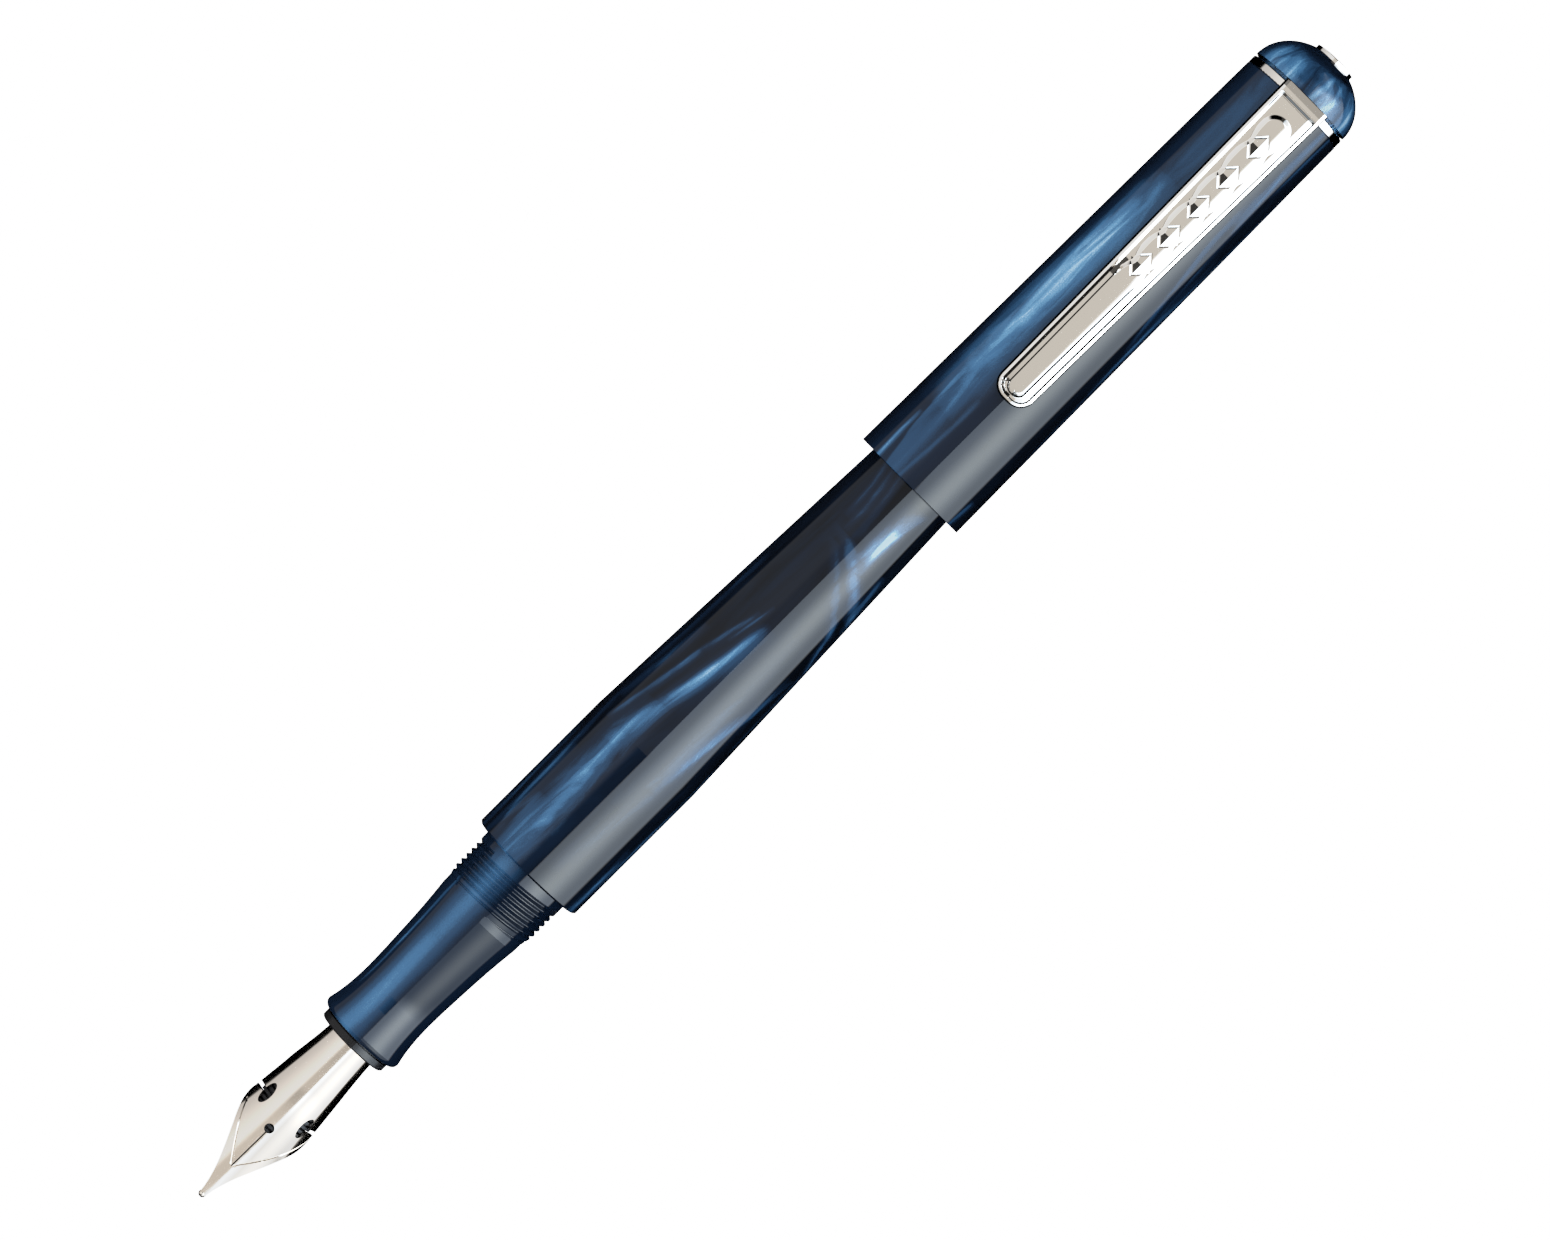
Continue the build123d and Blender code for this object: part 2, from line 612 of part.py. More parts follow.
inner_cap_end_x = cap_end_wall_x - ASSEMBLY_GAP
with BuildPart() as inner_cap:
    revolve(
        outline(
            (INNER_CAP_MOUTH_X + ASSEMBLY_GAP, INNER_CAP_BORE_R + INNER_CAP_MOUTH_BEVEL[1]),
            (INNER_CAP_MOUTH_X + ASSEMBLY_GAP, INNER_CAP_R),
            (inner_cap_end_x, INNER_CAP_R),
            (inner_cap_end_x, STUD_R + STUD_HOLE_CLEARANCE),
            (inner_cap_end_x - INNER_CAP_END_WALL, STUD_R + STUD_HOLE_CLEARANCE),
            (inner_cap_end_x - INNER_CAP_END_WALL, INNER_CAP_BORE_R),
            (INNER_CAP_MOUTH_X + INNER_CAP_MOUTH_BEVEL[0], INNER_CAP_BORE_R),
        ),
        axis=PEN_AXIS,
    )
save(inner_cap.part, "inner_cap")

# ---- finial with its stud, the decorative disc in its end and the nut inside the inner cap ----
disc_seat_x = FINIAL_APEX_X - FINIAL_DISC_DEPTH
with BuildSketch(PROFILE) as finial_profile:
    with BuildLine():
        dome = EllipticalCenterArc((FINIAL_BASE_X, 0), FINIAL_HEIGHT, RING_R, 0, arc_size=90)
        Polyline(
            dome @ 1,
            (FINIAL_BASE_X, FINIAL_GAP_R),
            (RING_END_X, FINIAL_GAP_R),
            (RING_END_X, STUD_R),
            (RING_END_X - STUD_LENGTH, STUD_R),
            (RING_END_X - STUD_LENGTH, 0),
            dome @ 0,
        )
    make_face()
with BuildPart() as finial:
    revolve(finial_profile.sketch, axis=PEN_AXIS)
    revolve(
        ring_outline(disc_seat_x, FINIAL_APEX_X + 1, 0, FINIAL_DISC_R + ASSEMBLY_GAP),
        axis=PEN_AXIS,
        mode=Mode.SUBTRACT,
    )
save(finial.part, "finial")

with BuildPart() as finial_disc:
    with BuildSketch(PROFILE):
        with BuildLine():
            crown = ThreePointArc(
                (FINIAL_APEX_X + FINIAL_DISC_PROUD, 0),
                (FINIAL_APEX_X + FINIAL_DISC_PROUD - FINIAL_DISC_CROWN, FINIAL_DISC_R / 2),
                (FINIAL_APEX_X, FINIAL_DISC_R),
            )
            Polyline(
                crown @ 1,
                (disc_seat_x + ASSEMBLY_GAP, FINIAL_DISC_R),
                (disc_seat_x + ASSEMBLY_GAP, 0),
                crown @ 0,
            )
        make_face()
    revolve(axis=PEN_AXIS)
save(finial_disc.part, "finial_disc")

with BuildPart() as finial_nut:
    with BuildSketch(cross_plane(inner_cap_end_x - INNER_CAP_END_WALL - ASSEMBLY_GAP)):
        RegularPolygon(NUT_R, 6)
        Circle(STUD_R + ASSEMBLY_GAP, mode=Mode.SUBTRACT)
    extrude(amount=-NUT_THICKNESS)
save(finial_nut.part, "finial_nut")

# ---- clip ring: a washer clamped under the finial, slotted at the top for the clip's foot ----
with BuildPart() as clip_ring:
    revolve(
        ring_outline(CAP_TOP_X + EPS, RING_END_X - EPS, STUD_R + STUD_HOLE_CLEARANCE, RING_R),
        axis=PEN_AXIS,
    )
    rim_edges = clip_ring.edges().filter_by(GeomType.CIRCLE).group_by(SortBy.RADIUS)[-1]
    fillet(rim_edges, RING_ROUND)
    with BuildSketch(cross_plane(CAP_TOP_X)):
        with Locations((0, FOOT_BOTTOM - FOOT_SLOT_CLEARANCE)):
            Rectangle(
                2 * (FOOT_HALF_WIDTH + FOOT_SLOT_CLEARANCE), RING_R, align=(Align.CENTER, Align.MIN)
            )
    extrude(amount=RING_THICKNESS, mode=Mode.SUBTRACT)
save(clip_ring.part, "clip_ring")

# ---- clip: one stamped arm with a rim, a groove and a studded bar, and a foot into the ring ----
foot_start_x = (CAP_TOP_X + RING_END_X - FOOT_THICKNESS) / 2

with BuildSketch(PLAN.offset(CLIP_TOP - CLIP_THICKNESS)) as arm_outline:
    with BuildLine():
        flank = Polyline(
            (CLIP_ROOT_X, CLIP_ROOT_HALF_WIDTH),
            (CLIP_MIDDLE_X, CLIP_MIDDLE_HALF_WIDTH),
            (CLIP_TIP_X, CLIP_TIP_HALF_WIDTH),
            (CLIP_TIP_X, 0),
        )
        Line(flank @ 0, (CLIP_ROOT_X, 0))
        mirror(about=Plane.XZ)
    make_face()
    fillet(arm_outline.vertices().group_by(Axis.X)[0], CLIP_TIP_CORNER)

with BuildPart() as clip:
    extrude(arm_outline.sketch, amount=CLIP_THICKNESS)
    root_edge = clip.edges().filter_by(Axis.Y).group_by(Axis.X)[-1].sort_by(Axis.Z)[-1]
    chamfer(root_edge, CLIP_ROOT_BEVEL)
    groove_plane = PLAN.offset(CLIP_TOP - CLIP_GROOVE_DEPTH)
    with BuildSketch(groove_plane):
        add(arm_outline.sketch.moved(Location((0, 0, CLIP_THICKNESS - CLIP_GROOVE_DEPTH))))
        offset(amount=-CLIP_RIM_WIDTH)
    extrude(amount=CLIP_GROOVE_DEPTH, mode=Mode.SUBTRACT)
    with BuildSketch(groove_plane):
        with Locations(((BAR_START_X + BAR_END_X) / 2, 0)):
            SlotOverall(BAR_END_X - BAR_START_X, 2 * BAR_HALF_WIDTH)
    extrude(amount=CLIP_GROOVE_DEPTH, taper=BAR_DRAFT)
    for stud_x in BAR_STUDS_X:
        with BuildSketch(PLAN.offset(CLIP_TOP)) as stud_base:
            with BuildLine():
                Polyline(
                    (stud_x - BAR_STUD_HALF_LENGTH, 0),
                    (stud_x, -BAR_STUD_HALF_WIDTH),
                    (stud_x + BAR_STUD_HALF_LENGTH, 0),
                    (stud_x, BAR_STUD_HALF_WIDTH),
                    close=True,
                )
            make_face()
        loft(sections=[stud_base.sketch.face(), Vertex(stud_x, 0, AXIS_Z + CLIP_TOP + BAR_STUD_HEIGHT)])
    with BuildSketch(cross_plane(foot_start_x)):
        with Locations((0, RING_R - FOOT_OVER_RING)):
            Rectangle(
                2 * (CLIP_ROOT_HALF_WIDTH - CLIP_FOOT_MARGIN),
                CLIP_TOP - CLIP_THICKNESS / 2 - RING_R + FOOT_OVER_RING,
                align=(Align.CENTER, Align.MIN),
            )
        Circle(RING_R + FOOT_OVER_RING, mode=Mode.SUBTRACT)
        with Locations((0, FOOT_BOTTOM)):
            Rectangle(2 * FOOT_HALF_WIDTH, RING_R - FOOT_BOTTOM + 1, align=(Align.CENTER, Align.MIN))
    extrude(amount=FOOT_THICKNESS)
    with BuildSketch(PROFILE):
        with Locations((CLIP_PAD_X, CLIP_TOP - CLIP_THICKNESS + CLIP_PAD_R - CLIP_PAD_SINK)):
            Circle(CLIP_PAD_R)
        with Locations((CLIP_PAD_X, CLIP_TOP - CLIP_THICKNESS / 2)):
            Rectangle(
                CLIP_PAD_LENGTH, CLIP_PAD_DEPTH, align=(Align.CENTER, Align.MAX), mode=Mode.INTERSECT
            )
    extrude(amount=BAR_HALF_WIDTH, both=True)
save(clip.part, "clip")
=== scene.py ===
"""A fountain pen with its cap posted, on a plain pale floor in soft studio light."""

import math

import bpy
import numpy as np
from mathutils import Matrix, Vector
from mathutils.geometry import delaunay_2d_cdt


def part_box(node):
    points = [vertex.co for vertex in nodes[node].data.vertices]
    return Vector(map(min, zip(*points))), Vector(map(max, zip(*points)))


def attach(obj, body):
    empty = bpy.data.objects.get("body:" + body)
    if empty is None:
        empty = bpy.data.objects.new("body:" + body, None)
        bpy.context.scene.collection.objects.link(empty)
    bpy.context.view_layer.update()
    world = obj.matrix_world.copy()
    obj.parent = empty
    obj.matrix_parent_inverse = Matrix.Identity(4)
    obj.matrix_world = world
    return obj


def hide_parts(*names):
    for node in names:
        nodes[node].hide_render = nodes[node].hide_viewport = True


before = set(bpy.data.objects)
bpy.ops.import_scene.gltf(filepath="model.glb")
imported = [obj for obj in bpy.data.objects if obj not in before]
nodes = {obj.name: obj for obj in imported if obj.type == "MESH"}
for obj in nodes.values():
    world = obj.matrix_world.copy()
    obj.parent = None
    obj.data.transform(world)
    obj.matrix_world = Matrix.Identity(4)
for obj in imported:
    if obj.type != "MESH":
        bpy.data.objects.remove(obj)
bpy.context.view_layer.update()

MM = 0.001

# ---- driving positions from the frame, in millimetres ----
barrel_low, barrel_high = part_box("barrel")
AXIS_Z = (barrel_low.z + barrel_high.z) / 2 / MM
clip_low, clip_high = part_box("clip")

# ---- camera: place in millimetres, lean and roll in degrees ----
CAMERA_TARGET = (1.2, 0.02, AXIS_Z)
CAMERA_DISTANCE = 662.0
CAMERA_LEAN_X = 1.84
CAMERA_LEAN_Y = 5.0
CAMERA_ROLL = 45.12
CAMERA_LENS = 148.6
SENSOR_WIDTH = 36.0
CAMERA_CLIP = (0.01, 10.0)


# ---- small helpers ----
def smooth_step(low, high, value):
    """0 below low, 1 above high and a smooth ramp between, for numbers and arrays."""
    t = np.clip((value - low) / (high - low), 0.0, 1.0)
    return t * t * (3.0 - 2.0 * t)


def new_mesh_object(name, points, faces):
    """A mesh object from points in millimetres."""
    mesh = bpy.data.meshes.new(name)
    mesh.from_pydata([(x * MM, y * MM, z * MM) for x, y, z in points], [], faces)
    mesh.validate()
    mesh.update()
    piece = bpy.data.objects.new(name, mesh)
    bpy.context.scene.collection.objects.link(piece)
    return piece


def smooth_shaded(piece, sharp_degrees):
    """Smooth shading with edges sharper than the angle kept crisp."""
    mesh = piece.data
    mesh.polygons.foreach_set("use_smooth", [True] * len(mesh.polygons))
    mesh.set_sharp_from_angle(angle=math.radians(sharp_degrees))


# ---- camera, floor and light ----
def make_camera():
    """A long lens above the pen, leaning a little from straight down, with the pen on the diagonal."""
    back = Vector(
        (math.tan(math.radians(CAMERA_LEAN_X)), math.tan(math.radians(CAMERA_LEAN_Y)), 1.0)
    ).normalized()
    roll = math.radians(CAMERA_ROLL)
    right = Vector((math.cos(roll), -math.sin(roll), 0.0))
    right = (right - back * right.dot(back)).normalized()
    up = back.cross(right)
    data = bpy.data.cameras.new("camera")
    data.lens = CAMERA_LENS
    data.sensor_width = SENSOR_WIDTH
    data.clip_start, data.clip_end = CAMERA_CLIP
    camera = bpy.data.objects.new("camera", data)
    turn = Matrix((right, up, back)).transposed().to_4x4()
    place = Vector(CAMERA_TARGET) * MM + back * CAMERA_DISTANCE * MM
    camera.matrix_world = Matrix.Translation(place) @ turn
    bpy.context.scene.collection.objects.link(camera)
    bpy.context.scene.camera = camera


class Shader:
    """Short calls to build a node tree: every value may be a number or a socket."""

    def __init__(self, tree):
        self.tree = tree
        tree.nodes.clear()

    def node(self, kind, **settings):
        made = self.tree.nodes.new(kind)
        for key, value in settings.items():
            setattr(made, key, value)
        return made

    def put(self, socket, value):
        if isinstance(value, bpy.types.NodeSocket):
            self.tree.links.new(value, socket)
        else:
            socket.default_value = value

    def math(self, operation, *values, clamp=False):
        made = self.node("ShaderNodeMath", operation=operation, use_clamp=clamp)
        for socket, value in zip(made.inputs, values):
            self.put(socket, value)
        return made.outputs[0]

    def add(self, a, b):
        return self.math("ADD", a, b)

    def sub(self, a, b):
        return self.math("SUBTRACT", a, b)

    def mul(self, a, b):
        return self.math("MULTIPLY", a, b)

    def ramp(self, value, low, high, start=0.0, end=1.0):
        """Smooth ramp of value from low to high, mapped to start and end."""
        made = self.node("ShaderNodeMapRange", interpolation_type="SMOOTHSTEP")
        for socket, number in zip(made.inputs, (value, low, high, start, end)):
            self.put(socket, number)
        return made.outputs[0]

    def noise(self, vector, scale, detail=3.0, roughness=0.5, distortion=0.0):
        made = self.node("ShaderNodeTexNoise")
        self.put(made.inputs["Vector"], vector)
        made.inputs["Scale"].default_value = scale
        made.inputs["Detail"].default_value = detail
        made.inputs["Roughness"].default_value = roughness
        made.inputs["Distortion"].default_value = distortion
        return made.outputs["Fac"]

    def stretch(self, vector, scale):
        """The vector with each coordinate times its scale, to draw a texture out."""
        made = self.node("ShaderNodeVectorMath", operation="MULTIPLY")
        self.put(made.inputs[0], vector)
        made.inputs[1].default_value = scale
        return made.outputs[0]

    def bell(self, value, middle, spread):
        """A bell curve of value: 1 at middle, 1/e at spread to either side."""
        off = self.mul(self.sub(value, middle), 1.0 / spread)
        return self.math("EXPONENT", self.mul(self.mul(off, off), -1.0))

    def mix(self, factor, a, b):
        """Colour a at factor 0 and b at factor 1; a colour is a socket or (r, g, b)."""
        made = self.node("ShaderNodeMix", data_type="RGBA")
        self.put(made.inputs[0], factor)
        for socket, colour in ((made.inputs[6], a), (made.inputs[7], b)):
            self.put(socket, (*colour, 1.0) if isinstance(colour, tuple) else colour)
        return made.outputs[2]

    def colours(self, value, stops):
        """A colour ramp with (position, (r, g, b)) stops."""
        made = self.node("ShaderNodeValToRGB")
        band = made.color_ramp
        band.interpolation = "EASE"
        while len(band.elements) < len(stops):
            band.elements.new(0.5)
        for element, (place, colour) in zip(band.elements, stops):
            element.position = place
            element.color = (*colour, 1.0)
        self.put(made.inputs[0], value)
        return made.outputs[0]


# The studio round the pen. Edges across the pen are angles in degrees from straight up, positive
# towards -Y: (from, full, full to, gone). Ends along the pen are the direction's x: (from, to, level).
RIGHT_BOX_EDGES = (9.2, 12.0, 96.0, 104.0)
RIGHT_BOX_HOT = (48.0, 25.0)
RIGHT_BOX_LIGHT = (4.2, 10.2)
RIGHT_BOX_ENDS = (-0.17, -0.09, 0.4)
LEFT_BOX_EDGES = (-110.0, -103.0, -24.0, -12.0)
LEFT_BOX_LIGHT = (0.7, 1.08)
LEFT_BOX_ENDS = (0.28, 0.5)
GAP_LIGHT = (0.74, 0.05)
GAP_DARK_FROM = (-0.118, -0.1)
GAP_DARK_TO = (0.011, 0.0165)
GAP_ENDS = (0.28, 0.5, 0.62)
FAR_ENDS = (0.62, 0.85, 0.12)
BOX_TINT = (1.0, 0.99, 0.985)
RIGHT_BOX_TINT = (0.86, 1.0, 1.16)
HOT_TINT = (0.92, 1.02, 1.07)
GAP_TINT = (1.0, 0.955, 0.89)
# The even glow that lights body colours: its level away from and towards its side, and that side.
BODY_LIGHT = (0.7, 1.3)
BODY_LIGHT_ANGLE = 42.0
WHITE = (1.0, 1.0, 1.0)
BLACK = (0.0, 0.0, 0.0)
PAPER_LIGHT = 2.4


def make_world():
    """Two long soft boxes beside the pen for reflections, and an even glow for the body colours."""
    world = bpy.data.worlds.new("studio")
    bpy.context.scene.world = world
    world.use_nodes = True
    world.cycles.sampling_method = "NONE"
    s = Shader(world.node_tree)
    direction = s.node("ShaderNodeTexCoord").outputs["Generated"]
    split = s.node("ShaderNodeSeparateXYZ")
    s.put(split.inputs[0], direction)
    x, y, z = split.outputs
    angle = s.math("DEGREES", s.math("ARCTAN2", s.mul(y, -1.0), z))
    far = s.ramp(s.math("ABSOLUTE", x), FAR_ENDS[0], FAR_ENDS[1], 1.0, FAR_ENDS[2])

    # the bright box on the right, hotter in its middle and weaker towards the nib's end
    right = s.mul(
        s.ramp(angle, RIGHT_BOX_EDGES[0], RIGHT_BOX_EDGES[1]),
        s.ramp(angle, RIGHT_BOX_EDGES[2], RIGHT_BOX_EDGES[3], 1.0, 0.0),
    )
    hot = s.bell(angle, RIGHT_BOX_HOT[0], RIGHT_BOX_HOT[1])
    near_nib = s.ramp(x, RIGHT_BOX_ENDS[0], RIGHT_BOX_ENDS[1], RIGHT_BOX_ENDS[2], 1.0)
    right_light = s.add(s.mul(hot, RIGHT_BOX_LIGHT[1]), RIGHT_BOX_LIGHT[0])
    right_light = s.mul(right_light, s.mul(near_nib, far))

    # the softer box on the left, which ends sooner towards the finial
    left = s.mul(
        s.ramp(angle, LEFT_BOX_EDGES[0], LEFT_BOX_EDGES[1]),
        s.ramp(angle, LEFT_BOX_EDGES[2], LEFT_BOX_EDGES[3], 1.0, 0.0),
    )
    left_light = s.ramp(angle, LEFT_BOX_EDGES[1], LEFT_BOX_EDGES[2], LEFT_BOX_LIGHT[0], LEFT_BOX_LIGHT[1])
    left_end = s.ramp(x, LEFT_BOX_ENDS[0], LEFT_BOX_ENDS[1], 1.0, 0.0)
    left_light = s.mul(left_light, s.mul(left_end, far))

    # the space between them: darkest over the barrel
    gap = s.mul(
        s.ramp(angle, LEFT_BOX_EDGES[2], LEFT_BOX_EDGES[3]),
        s.ramp(angle, RIGHT_BOX_EDGES[0], RIGHT_BOX_EDGES[1], 1.0, 0.0),
    )
    gap_light = s.add(
        s.ramp(x, GAP_DARK_FROM[0], GAP_DARK_FROM[1], GAP_LIGHT[0], GAP_LIGHT[1]),
        s.ramp(x, GAP_DARK_TO[0], GAP_DARK_TO[1], 0.0, GAP_LIGHT[0] - GAP_LIGHT[1]),
    )
    gap_light = s.mul(gap_light, s.ramp(x, GAP_ENDS[0], GAP_ENDS[1], 1.0, GAP_ENDS[2]))
    glossy = s.add(
        s.mul(right, right_light),
        s.add(s.mul(left, left_light), s.mul(s.mul(gap, gap_light), far)),
    )

    # the glow for body colours, stronger from the upper left
    toward = s.node("ShaderNodeVectorMath", operation="DOT_PRODUCT")
    s.put(toward.inputs[0], direction)
    tilt = math.radians(BODY_LIGHT_ANGLE)
    toward.inputs[1].default_value = (0.0, math.sin(tilt), math.cos(tilt))
    body = s.ramp(toward.outputs["Value"], -1.0, 1.0, BODY_LIGHT[0], BODY_LIGHT[1])
    tint = s.mix(right, BOX_TINT, RIGHT_BOX_TINT)
    tint = s.mix(gap, tint, GAP_TINT)
    tint = s.mix(s.mul(right, hot), tint, HOT_TINT)

    # reflections see the boxes, body colours the glow, and the camera plain paper
    paths = s.node("ShaderNodeLightPath")
    strength = s.node("ShaderNodeMix", data_type="FLOAT")
    s.put(strength.inputs[0], paths.outputs["Is Glossy Ray"])
    s.put(strength.inputs[2], body)
    s.put(strength.inputs[3], glossy)
    lit = s.node("ShaderNodeBackground")
    s.put(lit.inputs["Color"], tint)
    s.put(lit.inputs["Strength"], strength.outputs[0])
    seen = s.node("ShaderNodeBackground")
    seen.inputs["Strength"].default_value = PAPER_LIGHT
    seen.inputs["Color"].default_value = (*WHITE, 1.0)
    pick = s.node("ShaderNodeMixShader")
    s.put(pick.inputs[0], paths.outputs["Is Camera Ray"])
    s.put(pick.inputs[1], lit.outputs[0])
    s.put(pick.inputs[2], seen.outputs[0])
    s.put(s.node("ShaderNodeOutputWorld").inputs[0], pick.outputs[0])


# Scene light against picture brightness: even up to 0.7, then a soft shoulder as on film.
SHOULDER = [(0.7, 0.7), (1.0, 0.8), (1.4, 0.87), (1.8, 0.92), (2.4, 1.0)]


def set_picture_curve():
    """Shows the paper as white and keeps detail in bright metal."""
    view = bpy.context.scene.view_settings
    view.view_transform = "Standard"
    view.use_curve_mapping = True
    mapping = view.curve_mapping
    mapping.white_level = (PAPER_LIGHT, PAPER_LIGHT, PAPER_LIGHT)
    curve = mapping.curves[3]
    curve.points[0].location = (0.0, 0.0)
    curve.points[1].location = (1.0, 1.0)
    for light, shown in SHOULDER[:-1]:
        curve.points.new(light / PAPER_LIGHT, shown)
    for point in curve.points:
        point.handle_type = "VECTOR"
    mapping.update()


FLOOR_SIZE = 6.0


def make_floor():
    """A plain pale floor that glows evenly and throws nothing back on the pen."""
    bpy.ops.mesh.primitive_plane_add(size=FLOOR_SIZE, location=(0.0, 0.0, 0.0))
    floor = bpy.context.object
    floor.name = "floor"
    floor.visible_glossy = False
    floor.visible_diffuse = False
    material = bpy.data.materials.new("pale_floor")
    material.use_nodes = True
    s = Shader(material.node_tree)
    paper = s.node("ShaderNodeEmission")
    paper.inputs["Color"].default_value = (*WHITE, 1.0)
    paper.inputs["Strength"].default_value = PAPER_LIGHT
    s.put(s.node("ShaderNodeOutputMaterial").inputs[0], paper.outputs[0])
    floor.data.materials.append(material)


# ---- materials ----
def material_shader(name):
    """A new material with one surface shader, and the place on the object in metres."""
    material = bpy.data.materials.new(name)
    material.use_nodes = True
    s = Shader(material.node_tree)
    surface = s.node("ShaderNodeBsdfPrincipled")
    s.put(s.node("ShaderNodeOutputMaterial").inputs[0], surface.outputs[0])
    place = s.node("ShaderNodeTexCoord").outputs["Object"]
    return material, s, surface, place


def pen_coordinates(s, place):
    """Station along the pen in millimetres, and angle round it in degrees: 0 at the top, + towards -Y."""
    split = s.node("ShaderNodeSeparateXYZ")
    s.put(split.inputs[0], place)
    x, y, z = split.outputs
    station = s.mul(x, 1.0 / MM)
    height = s.sub(z, AXIS_Z * MM)
    angle = s.math("DEGREES", s.math("ARCTAN2", s.mul(y, -1.0), height))
    return station, angle


# Pearlescent acrylic: colour by amount of pearl, from the dark ground to the brightest streaks.
ACRYLIC_COLOURS = [
    (0.0, (0.0025, 0.0035, 0.006)),
    (0.2, (0.005, 0.012, 0.028)),
    (0.45, (0.018, 0.055, 0.12)),
    (0.7, (0.05, 0.145, 0.285)),
    (0.88, (0.125, 0.29, 0.47)),
    (1.0, (0.32, 0.48, 0.62)),
]
ACRYLIC_GLOSS = 0.24
ACRYLIC_ROUGHNESS = 0.03
ACRYLIC_IOR = 1.49
# Its noises: (scale, detail, roughness, distortion), drawn out along the pen.
PEARL_STRETCH = (0.16, 1.0, 1.0)
SEED_SHIFT = (0.37, 0.11, 0.23)
SILK_NOISE = (520.0, 4.0, 0.55, 1.6)
BROAD_NOISE = (170.0, 2.0, 0.5, 0.8)
STATION_WARP_NOISE = (150.0, 2.0)
STATION_WARP = 2.4
ANGLE_WARP_NOISE = (260.0, 3.0)
ANGLE_WARP = 13.0
GRAIN_NOISE = (9000.0, 2.0, 0.7)
GRAIN_STRENGTH = 0.45
STREAK_SILK = 1.5
STREAK_TAPER = 0.6


def streak(s, station, angle, along, across, sag, widths, strength):
    """One stroke of pearl from (station, angle) to (station, angle), bowed by sag degrees.
    widths are its half widths in degrees on the clip's left and right sides, at its middle."""
    (x0, x1), (a0, a1) = along, across
    t = s.math("MULTIPLY", s.sub(station, x0), 1.0 / (x1 - x0), clamp=True)
    hump = s.mul(s.mul(t, s.sub(1.0, t)), 4.0)
    middle = s.add(s.add(s.mul(t, a1 - a0), a0), s.mul(hump, sag))
    off = s.sub(angle, middle)
    left = s.mul(s.math("MINIMUM", off, 0.0), 1.0 / widths[0])
    right = s.mul(s.math("MAXIMUM", off, 0.0), 1.0 / widths[1])
    spread = s.add(s.mul(left, left), s.mul(right, right))
    taper = s.math("POWER", hump, STREAK_TAPER)
    return s.mul(s.mul(s.math("EXPONENT", s.mul(spread, -1.0)), taper), strength)


def acrylic(name, painted_sheen, silk_strength, streaks, seed):
    """Polished pearlescent acrylic. The second argument lists broad (angle, spread, level) bands of
    painted sheen round the pen, where the pearl is painted brighter as the light falls on it; streaks
    lists (stations, angles, sag, half widths, strength), in millimetres and degrees."""
    material, s, surface, place = material_shader(name)
    shifted = s.node("ShaderNodeVectorMath", operation="ADD")
    s.put(shifted.inputs[0], place)
    shifted.inputs[1].default_value = tuple(seed * shift for shift in SEED_SHIFT)
    stretched = s.stretch(shifted.outputs[0], PEARL_STRETCH)
    silk = s.sub(s.noise(stretched, *SILK_NOISE), 0.5)
    broad = s.sub(s.noise(stretched, *BROAD_NOISE), 0.5)
    station_warp = s.sub(s.noise(shifted.outputs[0], *STATION_WARP_NOISE), 0.5)
    angle_warp = s.sub(s.noise(stretched, *ANGLE_WARP_NOISE), 0.5)
    plain_station, plain_angle = pen_coordinates(s, place)
    station = s.add(plain_station, s.mul(station_warp, STATION_WARP))
    angle = s.add(plain_angle, s.mul(angle_warp, ANGLE_WARP))
    pearl_and_painted_sheen = s.add(s.mul(silk, silk_strength), s.mul(broad, silk_strength))
    # Painted sheen: the pearl is painted brighter in broad bands round the pen where the light falls.
    for line, spread, level in painted_sheen:
        pearl_and_painted_sheen = s.add(pearl_and_painted_sheen, s.mul(s.bell(plain_angle, line, spread), level))
    for along, across, sag, widths, strength in streaks:
        stroke = streak(s, station, angle, along, across, sag, widths, strength)
        pearl_and_painted_sheen = s.add(pearl_and_painted_sheen, s.mul(stroke, s.add(s.mul(silk, STREAK_SILK), 1.0)))
    pearl_and_painted_sheen = s.math("MAXIMUM", pearl_and_painted_sheen, 0.0)
    grain = s.sub(s.noise(place, *GRAIN_NOISE), 0.5)
    pearl_and_painted_sheen = s.add(pearl_and_painted_sheen, s.mul(s.mul(grain, pearl_and_painted_sheen), GRAIN_STRENGTH))
    s.put(surface.inputs["Base Color"], s.colours(pearl_and_painted_sheen, ACRYLIC_COLOURS))
    surface.inputs["Roughness"].default_value = ACRYLIC_ROUGHNESS
    surface.inputs["IOR"].default_value = ACRYLIC_IOR
    surface.inputs["Specular IOR Level"].default_value = ACRYLIC_GLOSS
    return material


METAL_CLOUD_NOISE = (260.0, 3.0)
METAL_CLOUD_EDGES = (0.3, 0.8)
METAL_ROUGHNESS_SPREAD = (0.7, 1.3)
METAL_SHADE = 0.94
METAL_GRAIN_NOISE = (3000.0, 2.0)
METAL_GRAIN_STRETCH = (0.05, 1.0, 1.0)
METAL_GRAIN_HEIGHT = 0.00002
# Painted shade on metal: a face is painted darker as it turns towards -Y (the normal's -y), the side the
# bright right box lights, and painted near black as it gets steep (the normal's z), in the clip's grooves
# and round its edge.
PAINTED_SIDE_SHADE_RAMP = (0.02, 0.2)
PAINTED_SIDE_SHADE_COLOUR = (0.34, 0.31, 0.285)
PAINTED_WALL_SHADE_RAMP = (0.44, 0.56)
PAINTED_WALL_SHADE_COLOUR = (0.02, 0.02, 0.02)


